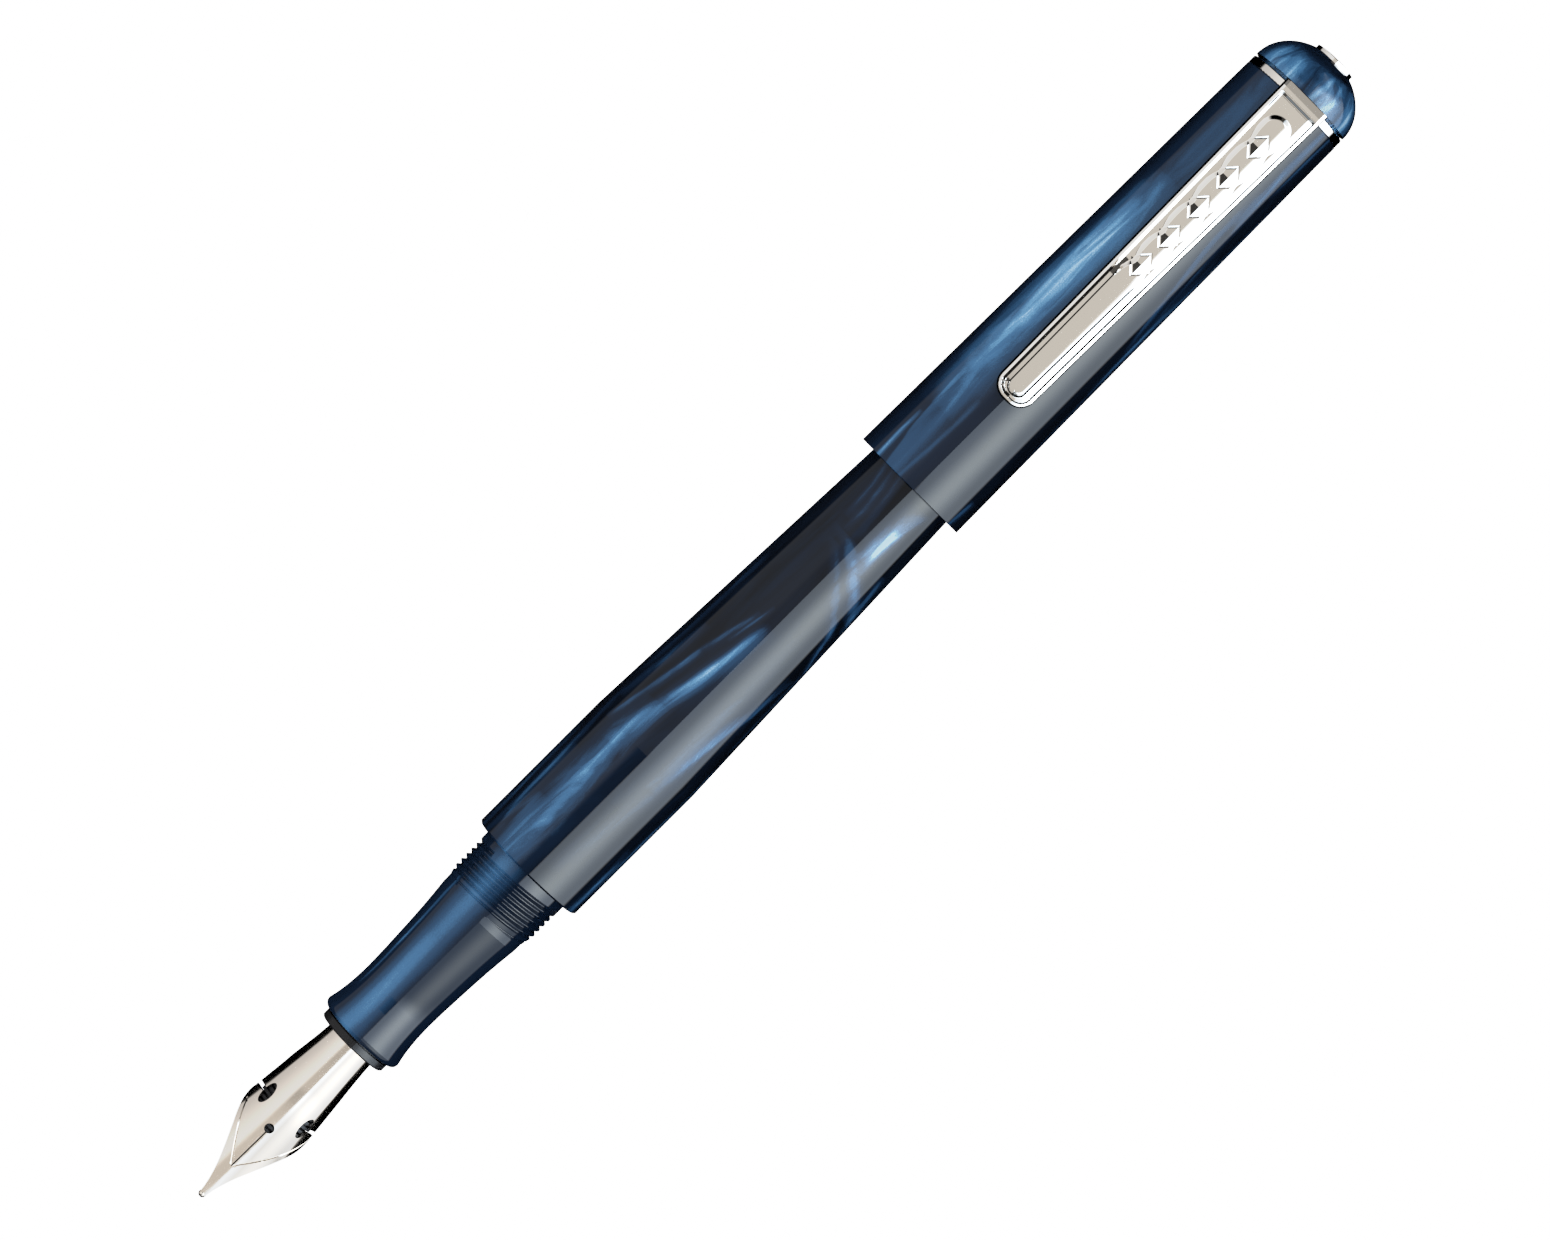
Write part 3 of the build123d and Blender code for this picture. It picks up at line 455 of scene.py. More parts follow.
def metal(name, colour, roughness, grain_depth=0.0, painted_side_shade=False, painted_wall_shade=False):
    """Polished metal with faint variation, fine lengthwise grain where asked, and where asked painted
    shade on the side towards -Y and on steep walls.
    """
    material, s, surface, place = material_shader(name)
    cloud = s.noise(place, *METAL_CLOUD_NOISE)
    low, high = (roughness * spread for spread in METAL_ROUGHNESS_SPREAD)
    s.put(surface.inputs["Roughness"], s.ramp(cloud, *METAL_CLOUD_EDGES, low, high))
    shade = s.mix(cloud, tuple(value * METAL_SHADE for value in colour), colour)
    facing = s.node("ShaderNodeSeparateXYZ")
    s.put(facing.inputs[0], s.node("ShaderNodeTexCoord").outputs["Normal"])
    # Painted shade: faces turned towards -Y, the side lit by the bright right box, get a darker base
    # colour.
    if painted_side_shade:
        side_shade_mask = s.ramp(s.mul(facing.outputs["Y"], -1.0), *PAINTED_SIDE_SHADE_RAMP)
        side = tuple(value * dulled for value, dulled in zip(colour, PAINTED_SIDE_SHADE_COLOUR))
        shade = s.mix(side_shade_mask, shade, side)
    # Painted shade: steep walls get a near-black base colour and a black specular tint, standing in for
    # the shade in the clip's grooves and under its edge.
    if painted_wall_shade:
        wall_shade_mask = s.ramp(s.math("ABSOLUTE", facing.outputs["Z"]), *PAINTED_WALL_SHADE_RAMP, 1.0, 0.0)
        shade = s.mix(wall_shade_mask, shade, PAINTED_WALL_SHADE_COLOUR)
        s.put(surface.inputs["Specular Tint"], s.mix(wall_shade_mask, WHITE, BLACK))
    s.put(surface.inputs["Base Color"], shade)
    surface.inputs["Metallic"].default_value = 1.0
    if grain_depth:
        bump = s.node("ShaderNodeBump")
        bump.inputs["Strength"].default_value = grain_depth
        bump.inputs["Distance"].default_value = METAL_GRAIN_HEIGHT
        drawn_out = s.stretch(place, METAL_GRAIN_STRETCH)
        s.put(bump.inputs["Height"], s.noise(drawn_out, *METAL_GRAIN_NOISE))
        s.put(surface.inputs["Normal"], bump.outputs[0])
    return material


PLASTIC_CLOUD_NOISE = (500.0, 3.0)
PLASTIC_CLOUD_EDGES = (0.3, 0.7)
PLASTIC_PALE = 1.35
PLASTIC_ROUGHNESS_SPREAD = (0.85, 1.15)
PLASTIC_TEXTURE_NOISE = (7000.0, 2.0)
PLASTIC_TEXTURE_HEIGHT = 0.00003
PLASTIC_TEXTURE_DEPTH = 0.1


def plastic(name, colour, roughness):
    """Moulded plastic or rubber: a fine texture in height and a slight change of shade."""
    material, s, surface, place = material_shader(name)
    cloud = s.noise(place, *PLASTIC_CLOUD_NOISE)
    pale = tuple(value * PLASTIC_PALE for value in colour)
    s.put(surface.inputs["Base Color"], s.mix(cloud, colour, pale))
    low, high = (roughness * spread for spread in PLASTIC_ROUGHNESS_SPREAD)
    s.put(surface.inputs["Roughness"], s.ramp(cloud, *PLASTIC_CLOUD_EDGES, low, high))
    surface.inputs["Specular IOR Level"].default_value = ACRYLIC_GLOSS
    bump = s.node("ShaderNodeBump")
    bump.inputs["Strength"].default_value = PLASTIC_TEXTURE_DEPTH
    bump.inputs["Distance"].default_value = PLASTIC_TEXTURE_HEIGHT
    s.put(bump.inputs["Height"], s.noise(place, *PLASTIC_TEXTURE_NOISE))
    s.put(surface.inputs["Normal"], bump.outputs[0])
    return material


CLEAR_NOISE_SCALE = 600.0
CLEAR_ROUGHNESS = (0.02, 0.06)


def clear_plastic(name):
    """Clear moulded plastic with slightly uneven polish."""
    material, s, surface, place = material_shader(name)
    surface.inputs["Transmission Weight"].default_value = 1.0
    surface.inputs["IOR"].default_value = ACRYLIC_IOR
    cloud = s.noise(place, CLEAR_NOISE_SCALE)
    s.put(surface.inputs["Roughness"], s.ramp(cloud, *PLASTIC_CLOUD_EDGES, *CLEAR_ROUGHNESS))
    return material


def assign(material, *pieces):
    """Gives each piece the material in place of what it had."""
    for piece in pieces:
        piece.data.materials.clear()
        piece.data.materials.append(material)


# ---- nib: a thin curved sheet with its slit, breather hole, side notches and fold lines ----
# Stations of the sheet: x, outer radius, height of the top line over the pen's axis.
NIB_SHEET = [
    (-84.0, 5.5, 1.32),
    (-80.5, 5.5, 1.98),
    (-77.0, 5.2, 2.60),
    (-72.2, 4.3, 3.00),
    (-67.0, 3.6, 3.03),
    (-62.0, 3.04, 3.04),
    (-50.0, 3.04, 3.04),
]
# Half width of the sheet seen from above, by x.
NIB_EDGE = [
    (-82.9, 0.33),
    (-81.5, 0.58),
    (-79.4, 1.2),
    (-77.4, 2.02),
    (-75.3, 2.98),
    (-73.9, 3.62),
    (-73.0, 3.93),
    (-71.9, 4.06),
    (-70.4, 3.92),
    (-67.5, 3.62),
    (-63.0, 3.22),
    (-60.5, 3.03),
    (-54.0, 2.99),
]
NIB_THICKNESS = 0.28
NIB_SHOULDER_X = (-73.0, -72.9)
NIB_WAIST_X = -60.0
NIB_SHARP_ANGLE = 40.0
NIB_WIDEST = 0.9995
# The breather hole's x and radius.
BREATHER = (-72.88, 0.54)
SLIT_FRONT_X = -78.5
SLIT_HALF_WIDTH = 0.07
NOTCH_X = -70.48
NOTCH_ANGLE = 42.0
NOTCH_HALF_LENGTH = 1.3
NOTCH_HALF_WIDTH = 0.66
NOTCH_SLIT_HALF = 0.22
NOTCH_SLIT_REACH = 8.0
FOLD_FRONT_X = -78.6
FOLD_REAR_X = -71.0
FOLD_HALF_WIDTH = 0.09
FOLD_DEPTH = 0.08
FOLD_RUN_IN = 0.6
FOLD_SPAN = (0.02, 0.995)
# Samples of the flat pattern: points along an outline side, round a hole, along a fold, and the grid.
OUTLINE_SAMPLES = 60
HOLE_SAMPLES = 40
FOLD_SAMPLES = 80
NIB_GRID = 0.14
NIB_GRID_START = 0.1
NIB_GRID_FILL = 0.96
MERGE_DISTANCE = 1e-6


def smooth_curve(table, column):
    """A smooth interpolation through a table's column, with Catmull-Rom slopes."""
    xs = np.array([row[0] for row in table])
    ys = np.array([row[column] for row in table])
    slopes = np.gradient(ys, xs)

    def value(x):
        x = np.asarray(x, float)
        i = np.clip(np.searchsorted(xs, x) - 1, 0, len(xs) - 2)
        width = xs[i + 1] - xs[i]
        t = np.clip((x - xs[i]) / width, 0.0, 1.0)
        a = (1 + 2 * t) * (1 - t) ** 2 * ys[i] + t * (1 - t) ** 2 * slopes[i] * width
        b = t * t * (3 - 2 * t) * ys[i + 1] + t * t * (t - 1) * slopes[i + 1] * width
        return a + b

    return value


nib_radius = smooth_curve(NIB_SHEET, 1)
nib_top = smooth_curve(NIB_SHEET, 2)
nib_edge = smooth_curve(NIB_EDGE, 1)


def nib_arc(x):
    """Half of the sheet's width at station x, measured round its curve."""
    radius = nib_radius(x)
    return radius * np.arcsin(np.clip(nib_edge(x) / radius, 0.0, NIB_WIDEST))


def fold_distance(x, arc):
    """Distance of a flat point along and across the fold line from the slit's end to the shoulder."""
    end_arc = float(nib_arc(FOLD_REAR_X))
    length = math.hypot(FOLD_REAR_X - FOLD_FRONT_X, end_arc)
    run_x = (FOLD_REAR_X - FOLD_FRONT_X) / length
    run_a = end_arc / length
    along = (x - FOLD_FRONT_X) * run_x + np.abs(arc) * run_a
    across = (x - FOLD_FRONT_X) * run_a - np.abs(arc) * run_x
    return along, across


def nib_point(x, arc, inset=0.0):
    """The place in the pen of a flat point of the sheet, inset below the outer face."""
    radius = nib_radius(x)
    angle = arc / radius
    along, across = fold_distance(x, arc)
    near = np.clip(1.0 - np.abs(across) / FOLD_HALF_WIDTH, 0.0, 1.0)
    near = near * smooth_step(0.0, FOLD_RUN_IN, along)
    reach = radius - inset - FOLD_DEPTH * near * (inset == 0.0)
    centre = nib_top(x) - radius
    return x, reach * np.sin(angle), AXIS_Z + centre + reach * np.cos(angle)


def nib_outline():
    """Loops of flat points: the sheet's edge, the breather hole, the slit and the notches."""
    stations = np.concatenate(
        (
            np.linspace(NIB_EDGE[0][0], NIB_SHOULDER_X[0], OUTLINE_SAMPLES),
            np.linspace(NIB_SHOULDER_X[1], NIB_WAIST_X, OUTLINE_SAMPLES),
            [NIB_EDGE[-1][0]],
        )
    )
    left = [(x, float(nib_arc(x))) for x in stations]
    right = [(x, -arc) for x, arc in reversed(left)]
    loops = [left + right]
    turn = np.linspace(0.0, 2.0 * math.pi, HOLE_SAMPLES + 1)[:-1]
    loops.append([(BREATHER[0] + BREATHER[1] * math.cos(a), BREATHER[1] * math.sin(a)) for a in turn])
    loops.append(
        [
            (SLIT_FRONT_X, -SLIT_HALF_WIDTH),
            (BREATHER[0], -SLIT_HALF_WIDTH),
            (BREATHER[0], SLIT_HALF_WIDTH),
            (SLIT_FRONT_X, SLIT_HALF_WIDTH),
        ]
    )
    notch_arc = math.radians(NOTCH_ANGLE) * float(nib_radius(NOTCH_X))
    for side in (-1.0, 1.0):
        loops.append(
            [
                (
                    NOTCH_X + NOTCH_HALF_LENGTH * math.cos(a),
                    side * notch_arc + NOTCH_HALF_WIDTH * math.sin(a),
                )
                for a in turn
            ]
        )
        loops.append(
            [
                (NOTCH_X - NOTCH_SLIT_HALF, side * notch_arc),
                (NOTCH_X + NOTCH_SLIT_HALF, side * notch_arc),
                (NOTCH_X + NOTCH_SLIT_HALF, side * NOTCH_SLIT_REACH),
                (NOTCH_X - NOTCH_SLIT_HALF, side * NOTCH_SLIT_REACH),
            ]
        )
    return loops, notch_arc


def in_nib(x, arc, notch_arc):
    """Whether a flat point is metal."""
    if abs(arc) > nib_arc(x) or x < NIB_EDGE[0][0] or x > NIB_EDGE[-1][0]:
        return False
    if math.hypot(x - BREATHER[0], arc) < BREATHER[1]:
        return False
    if abs(arc) < SLIT_HALF_WIDTH and SLIT_FRONT_X < x < BREATHER[0]:
        return False
    out = abs(arc) - notch_arc
    if ((x - NOTCH_X) / NOTCH_HALF_LENGTH) ** 2 + (out / NOTCH_HALF_WIDTH) ** 2 < 1.0:
        return False
    return not (abs(x - NOTCH_X) < NOTCH_SLIT_HALF and out > 0.0)


def make_nib():
    """Cuts the sheet from a flat triangulated pattern, bends it and closes its edges."""
    loops, notch_arc = nib_outline()
    points = []
    edges = []
    for loop in loops:
        first = len(points)
        points += loop
        edges += [(first + i, first + (i + 1) % len(loop)) for i in range(len(loop))]
    end_arc = float(nib_arc(FOLD_REAR_X))
    fold_shift = FOLD_HALF_WIDTH * math.hypot(FOLD_REAR_X - FOLD_FRONT_X, end_arc) / end_arc
    steps = np.linspace(FOLD_SPAN[0], FOLD_SPAN[1], FOLD_SAMPLES)
    for side in (-1.0, 1.0):
        for shift in (-fold_shift, 0.0, fold_shift):
            first = len(points)
            for t in steps:
                x = FOLD_FRONT_X + t * (FOLD_REAR_X - FOLD_FRONT_X) + shift
                points.append((x, side * t * end_arc))
            edges += [(first + i, first + i + 1) for i in range(len(steps) - 1)]
    for x in np.arange(NIB_EDGE[0][0] + NIB_GRID_START, NIB_EDGE[-1][0], NIB_GRID):
        half = float(nib_arc(x))
        count = max(2, int(2 * half / NIB_GRID))
        row = np.linspace(-half * NIB_GRID_FILL, half * NIB_GRID_FILL, count)
        points += [(float(x), float(arc)) for arc in row]
    corners = [Vector(point) for point in points]
    flat, _, faces, _, _, _ = delaunay_2d_cdt(corners, edges, [], 0, MERGE_DISTANCE)
    kept = []
    for face in faces:
        centre = sum((flat[i] for i in face), Vector((0.0, 0.0))) / len(face)
        if in_nib(centre.x, centre.y, notch_arc):
            kept.append(tuple(face))
    used = sorted({i for face in kept for i in face})
    index = {old: new for new, old in enumerate(used)}
    kept = [tuple(index[i] for i in face) for face in kept]
    count = len(used)
    outer = [nib_point(flat[i].x, flat[i].y) for i in used]
    inner = [nib_point(flat[i].x, flat[i].y, NIB_THICKNESS) for i in used]
    rim = {}
    for a, b, c in kept:
        for edge in ((a, b), (b, c), (c, a)):
            if edge[::-1] in rim:
                del rim[edge[::-1]]
            else:
                rim[edge] = True
    faces = kept + [tuple(i + count for i in reversed(face)) for face in kept]
    faces += [(b, a, a + count, b + count) for a, b in rim]
    nib = new_mesh_object("nib_sheet", outer + inner, faces)
    smooth_shaded(nib, NIB_SHARP_ANGLE)
    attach(nib, "section")
    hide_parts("nib")
    return nib


# ---- feed: a core with thin fins that fill the underside of the nib ----
FEED_FRONT_X = -79.2
FEED_REAR_X = -47.2
FEED_FIN_START_X = -75.4
FEED_FIN_PITCH = 0.56
FEED_FIN_THICKNESS = 0.3
FEED_FIN_COUNT = 22
FEED_NIB_GAP = 0.04
FEED_EDGE_GAP = 0.4
FEED_HALF_WIDTH = 3.35
FEED_REAR_HALF_WIDTH = 2.6
FEED_NECK = (-64.5, -61.5)
# Depth of the keel under the pen's axis, by x.
FEED_DEPTH = [(-80.0, -1.3), (-74.0, 1.7), (-69.0, 2.68), (-47.0, 2.68)]
FEED_LEAST_DEPTH = 0.2
FEED_CORE_INSET = 0.65
FEED_TOP_SAMPLES = 21
FEED_UNDER_SAMPLES = 23
FEED_NOSE_RINGS = 12
FEED_CORE_RINGS = 60
FEED_REAR_RINGS = 20
FEED_SHARP_ANGLE = 30.0
feed_depth = smooth_curve(FEED_DEPTH, 1)


def feed_ring(x, inset):
    """A cross-section of the feed at x: under the nib's curve on top, round below."""
    room = np.minimum(FEED_HALF_WIDTH, nib_edge(x) - FEED_EDGE_GAP)
    neck = smooth_step(FEED_NECK[0], FEED_NECK[1], x)
    half = float(room * (1.0 - neck) + min(room, FEED_REAR_HALF_WIDTH) * neck) - inset
    inner_r = float(nib_radius(x)) - NIB_THICKNESS - FEED_NIB_GAP
    centre = float(nib_top(x)) - float(nib_radius(x))
    ring = []
    for t in np.linspace(-1.0, 1.0, FEED_TOP_SAMPLES):
        ring.append((half * t, centre + math.sqrt(inner_r**2 - (half * t) ** 2) - inset))
    shoulder = ring[-1][1]
    low = min(-float(feed_depth(x)) + inset, shoulder - FEED_LEAST_DEPTH)
    for t in np.linspace(0.0, math.pi, FEED_UNDER_SAMPLES)[1:-1]:
        ring.append((half * math.cos(t), shoulder + (low - shoulder) * math.sin(t)))
    return [(x, y, AXIS_Z + z) for y, z in ring]


def add_tube(points, faces, rings):
    """Joins cross-sections into a closed solid."""
    size = len(rings[0])
    first = len(points)
    for ring in rings:
        points.extend(ring)
    for row in range(len(rings) - 1):
        for i in range(size):
            a = first + row * size + i
            b = first + row * size + (i + 1) % size
            faces.append((a, b, b + size, a + size))
    faces.append(tuple(reversed(range(first, first + size))))
    last = first + (len(rings) - 1) * size
    faces.append(tuple(range(last, last + size)))


def make_feed():
    """The feed's solid nose and rear, with a thinner core between them that carries the fins."""
    points = []
    faces = []
    nose = np.linspace(FEED_FRONT_X, FEED_FIN_START_X, FEED_NOSE_RINGS)
    add_tube(points, faces, [feed_ring(x, 0.0) for x in nose])
    core = np.linspace(FEED_FIN_START_X, FEED_REAR_X, FEED_CORE_RINGS)
    add_tube(points, faces, [feed_ring(x, FEED_CORE_INSET) for x in core])
    for fin in range(FEED_FIN_COUNT):
        start = FEED_FIN_START_X + FEED_FIN_PITCH * (fin + 1) - FEED_FIN_THICKNESS
        add_tube(points, faces, [feed_ring(start, 0.0), feed_ring(start + FEED_FIN_THICKNESS, 0.0)])
    rear_start = FEED_FIN_START_X + FEED_FIN_PITCH * FEED_FIN_COUNT
    rear = np.linspace(rear_start, FEED_REAR_X, FEED_REAR_RINGS)
    add_tube(points, faces, [feed_ring(x, 0.0) for x in rear])
    feed = new_mesh_object("feed_comb", points, faces)
    smooth_shaded(feed, FEED_SHARP_ANGLE)
    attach(feed, "section")
    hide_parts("feed")
    return feed


# ---- clip: a stamped arm with a rim, a groove, a bar with studs, and a root that slopes down at its end ----
CLIP_TIP_X = clip_low.x / MM
CLIP_END_X = clip_high.x / MM
CLIP_TOP = 8.0
CLIP_THICKNESS = 0.9
CLIP_CORNER = 1.86
# Half width of the arm, by x.
CLIP_EDGE = [(33.0, 2.25), (43.6, 2.38), (54.0, 2.52), (66.0, 2.71), (78.0, 2.88)]
# The edge's width and drop, then the rim's inner walls on the left (+Y) and right, and the groove's
# depth beside the plain bar and beside the beads.
CLIP_CHAMFER = (0.15, 0.32)
RIM_WIDTH = 0.42
RIM_DROP = 0.15
RIM_WALLS = (0.34, 0.12)
GROOVE_DEPTH = (0.45, 0.36)
GROOVE_RISE = 0.12
BAR_FRONT_GAP = 0.85
BAR_CORNER = 0.95
BAR_EDGE_DEPTH = 1.16
BAR_END_X = 74.35
BAR_HEIGHT = 0.04
BAR_CROWN_R = (17.0, 12.0)
BAR_WALL_LEFT = 0.11
BAR_WALL_RIGHT = 0.45
BEAD_WALL = 0.45
PINCH = 0.34
PINCH_LENGTH = 0.8
STUDS_X = [53.47, 57.5, 61.77, 66.0, 70.35]
STUDDED_FROM = (50.6, 53.2)
DIAMOND_HALF_LENGTH = 1.38
DIAMOND_HALF_WIDTH = 1.32
DIAMOND_HEIGHT = 0.1
DIAMOND_GROOVE = 0.07
DIAMOND_WALLS = (0.05, 0.15)
RECESS_END_X = 76.05
RECESS_END_WALL = 0.22
ROOT_SLOPE_X = 76.72
ROOT_DROP = 0.17
ROOT_LIP = 0.08
CLIP_STATION_STEP = 0.06
CLIP_CORNER_STATIONS = 44
CLIP_ROOT_STATIONS = 16
CLIP_MIDDLE_COLUMNS = 44
CLIP_SHARP_ANGLE = 32.0

clip_edge = smooth_curve(CLIP_EDGE, 1)


def rounded_depth(x, y, front_x, half_width, corner):
    """Distance of a point inside an outline that is straight at the front with round corners."""
    qx = front_x + corner - x
    qy = np.abs(y) - (half_width - corner)
    round_part = corner - np.hypot(np.maximum(qx, 0.0), np.maximum(qy, 0.0))
    straight = np.minimum(x - front_x, half_width - np.abs(y))
    return np.where((qx > 0) & (qy > 0), round_part, straight)


def clip_half_width(x):
    """Half width of the arm's outline, with the tip's round corners."""
    t = np.clip((x - CLIP_TIP_X) / CLIP_CORNER, 0.0, 1.0)
    return clip_edge(x) - CLIP_CORNER * (1.0 - np.sqrt(np.clip(1.0 - (1.0 - t) ** 2, 0.0, 1.0)))


def bar_depth(x, y, studded):
    """Distance inside the bar's foot: parallel to the rim in front, beads pinched at each stud behind."""
    pinch = sum(np.exp(-(((x - stud) / PINCH_LENGTH) ** 2)) for stud in STUDS_X)
    half = clip_edge(x) - BAR_EDGE_DEPTH - PINCH * pinch * studded
    depth = rounded_depth(x, y, CLIP_TIP_X + BAR_FRONT_GAP, half, BAR_CORNER)
    end = BAR_END_X - half - x
    rounded = half - np.hypot(np.minimum(end, 0.0), y)
    return np.where(end < 0.0, np.minimum(depth, rounded), depth)


def clip_height(x, y):
    """Height of the arm's upper face over its top level."""
    depth = rounded_depth(x, y, CLIP_TIP_X, clip_edge(x), CLIP_CORNER)
    studded = smooth_step(STUDDED_FROM[0], STUDDED_FROM[1], x)
    rim = -CLIP_CHAMFER[1] * np.clip(1.0 - depth / CLIP_CHAMFER[0], 0.0, 1.0)
    rim = rim - RIM_DROP * np.clip(1.0 - depth / RIM_WIDTH, 0.0, 1.0)

    recess_depth = GROOVE_DEPTH[0] + (GROOVE_DEPTH[1] - GROOVE_DEPTH[0]) * studded
    rim_wall = np.where(y > 0.0, RIM_WALLS[0], RIM_WALLS[1])
    inner = np.clip((depth - RIM_WIDTH) / rim_wall, 0.0, 1.0)
    end = smooth_step(RECESS_END_X + RECESS_END_WALL, RECESS_END_X - RECESS_END_WALL, x)
    rise = GROOVE_RISE * np.clip((depth - RIM_WIDTH) / (BAR_EDGE_DEPTH - RIM_WIDTH), 0.0, 1.0)
    height = rim - (recess_depth - rise) * inner * end

    inside = bar_depth(x, y, studded)
    plain_wall = np.where(y > 0.0, BAR_WALL_LEFT, BAR_WALL_RIGHT)
    wall = plain_wall + (BEAD_WALL - plain_wall) * studded
    up = np.clip(inside / wall, 0.0, 1.0)
    crown_r = BAR_CROWN_R[0] + (BAR_CROWN_R[1] - BAR_CROWN_R[0]) * studded
    top = BAR_HEIGHT - y * y / (2.0 * crown_r)
    height = height * (1.0 - up) + top * up

    reach = DIAMOND_HALF_LENGTH * DIAMOND_HALF_WIDTH
    reach = reach / math.hypot(DIAMOND_HALF_LENGTH, DIAMOND_HALF_WIDTH)
    for stud in STUDS_X:
        out = np.abs(x - stud) / DIAMOND_HALF_LENGTH + np.abs(y) / DIAMOND_HALF_WIDTH
        inward = (1.0 - out) * reach
        inner_wall = np.clip(1.0 - inward / DIAMOND_WALLS[0], 0.0, 1.0)
        outer_wall = np.clip(1.0 + inward / DIAMOND_WALLS[1], 0.0, 1.0)
        groove = DIAMOND_GROOVE * np.where(inward > 0.0, inner_wall, outer_wall)
        height = height + DIAMOND_HEIGHT * np.clip(inward / reach, 0.0, 1.0) - groove * up
    slope = np.clip((x - ROOT_SLOPE_X) / (CLIP_END_X - ROOT_SLOPE_X), 0.0, 1.0)
    lip = np.clip((CLIP_END_X - x) / ROOT_LIP, 0.0, 1.0)
    return height - ROOT_DROP * slope - ROOT_LIP * (1.0 - np.sqrt(1.0 - (1.0 - lip) ** 2))


def clip_columns():
    """Places across the arm: distances from its edge beside the rim and groove, then an even middle."""
    # each strip ends at a line of the profile: (distance from the edge, columns in the strip)
    strips = (
        (CLIP_CHAMFER[0], 2),
        (RIM_WIDTH, 4),
        (RIM_WIDTH + RIM_WALLS[1], 2),
        (RIM_WIDTH + RIM_WALLS[0], 4),
        (BAR_EDGE_DEPTH, 6),
        (BAR_EDGE_DEPTH + BAR_WALL_LEFT, 3),
        (BAR_EDGE_DEPTH + BEAD_WALL, 9),
    )
    near = [0.0]
    for end, count in strips:
        near.extend(np.linspace(near[-1], end, count + 1)[1:])
    return np.array(near), np.linspace(-1.0, 1.0, CLIP_MIDDLE_COLUMNS)[1:-1]


def make_clip():
    """The arm as one closed sheet: a modelled upper face, a flat underside and a wall between them."""
    corner_turn = np.linspace(0.0, math.pi / 2, CLIP_CORNER_STATIONS)
    tip = CLIP_TIP_X + CLIP_CORNER * (1.0 - np.cos(corner_turn))
    body = np.arange(CLIP_TIP_X + CLIP_CORNER + CLIP_STATION_STEP, ROOT_SLOPE_X, CLIP_STATION_STEP)
    root = np.linspace(ROOT_SLOPE_X, CLIP_END_X, CLIP_ROOT_STATIONS)
    stations = np.concatenate((tip, body, root))
    near, middle = clip_columns()
    rows = []
    for x in stations:
        full = float(clip_edge(x))
        side = full - near
        across = np.concatenate((-side, middle * side[-1], side[::-1]))
        rows.append(across * float(clip_half_width(x)) / full)
    grid_y = np.array(rows)
    grid_x = np.repeat(stations[:, None], grid_y.shape[1], axis=1)
    top = AXIS_Z + CLIP_TOP + clip_height(grid_x, grid_y)
    under = np.full_like(top, AXIS_Z + CLIP_TOP - CLIP_THICKNESS)
    row_count, column_count = grid_x.shape
    count = row_count * column_count
    upper = list(zip(grid_x.ravel(), grid_y.ravel(), top.ravel()))
    lower = list(zip(grid_x.ravel(), grid_y.ravel(), under.ravel()))
    faces = []
    for i in range(row_count - 1):
        for j in range(column_count - 1):
            a = i * column_count + j
            faces.append((a, a + column_count, a + column_count + 1, a + 1))
            b = a + count
            faces.append((b, b + 1, b + column_count + 1, b + column_count))
    last_row = (row_count - 1) * column_count
    rim = [i * column_count for i in range(row_count)]
    rim += [last_row + j for j in range(1, column_count)]
    rim += [i * column_count + column_count - 1 for i in reversed(range(row_count - 1))]
    rim += [j for j in reversed(range(1, column_count - 1))]
    for a, b in zip(rim, rim[1:] + rim[:1]):
        faces.append((a, a + count, b + count, b))
    clip = new_mesh_object("clip_arm", upper + lower, faces)
    smooth_shaded(clip, CLIP_SHARP_ANGLE)
    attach(clip, "clip")
    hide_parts("clip")
    return clip


# ---- the making ----
make_camera()
make_world()
make_floor()
set_picture_curve()

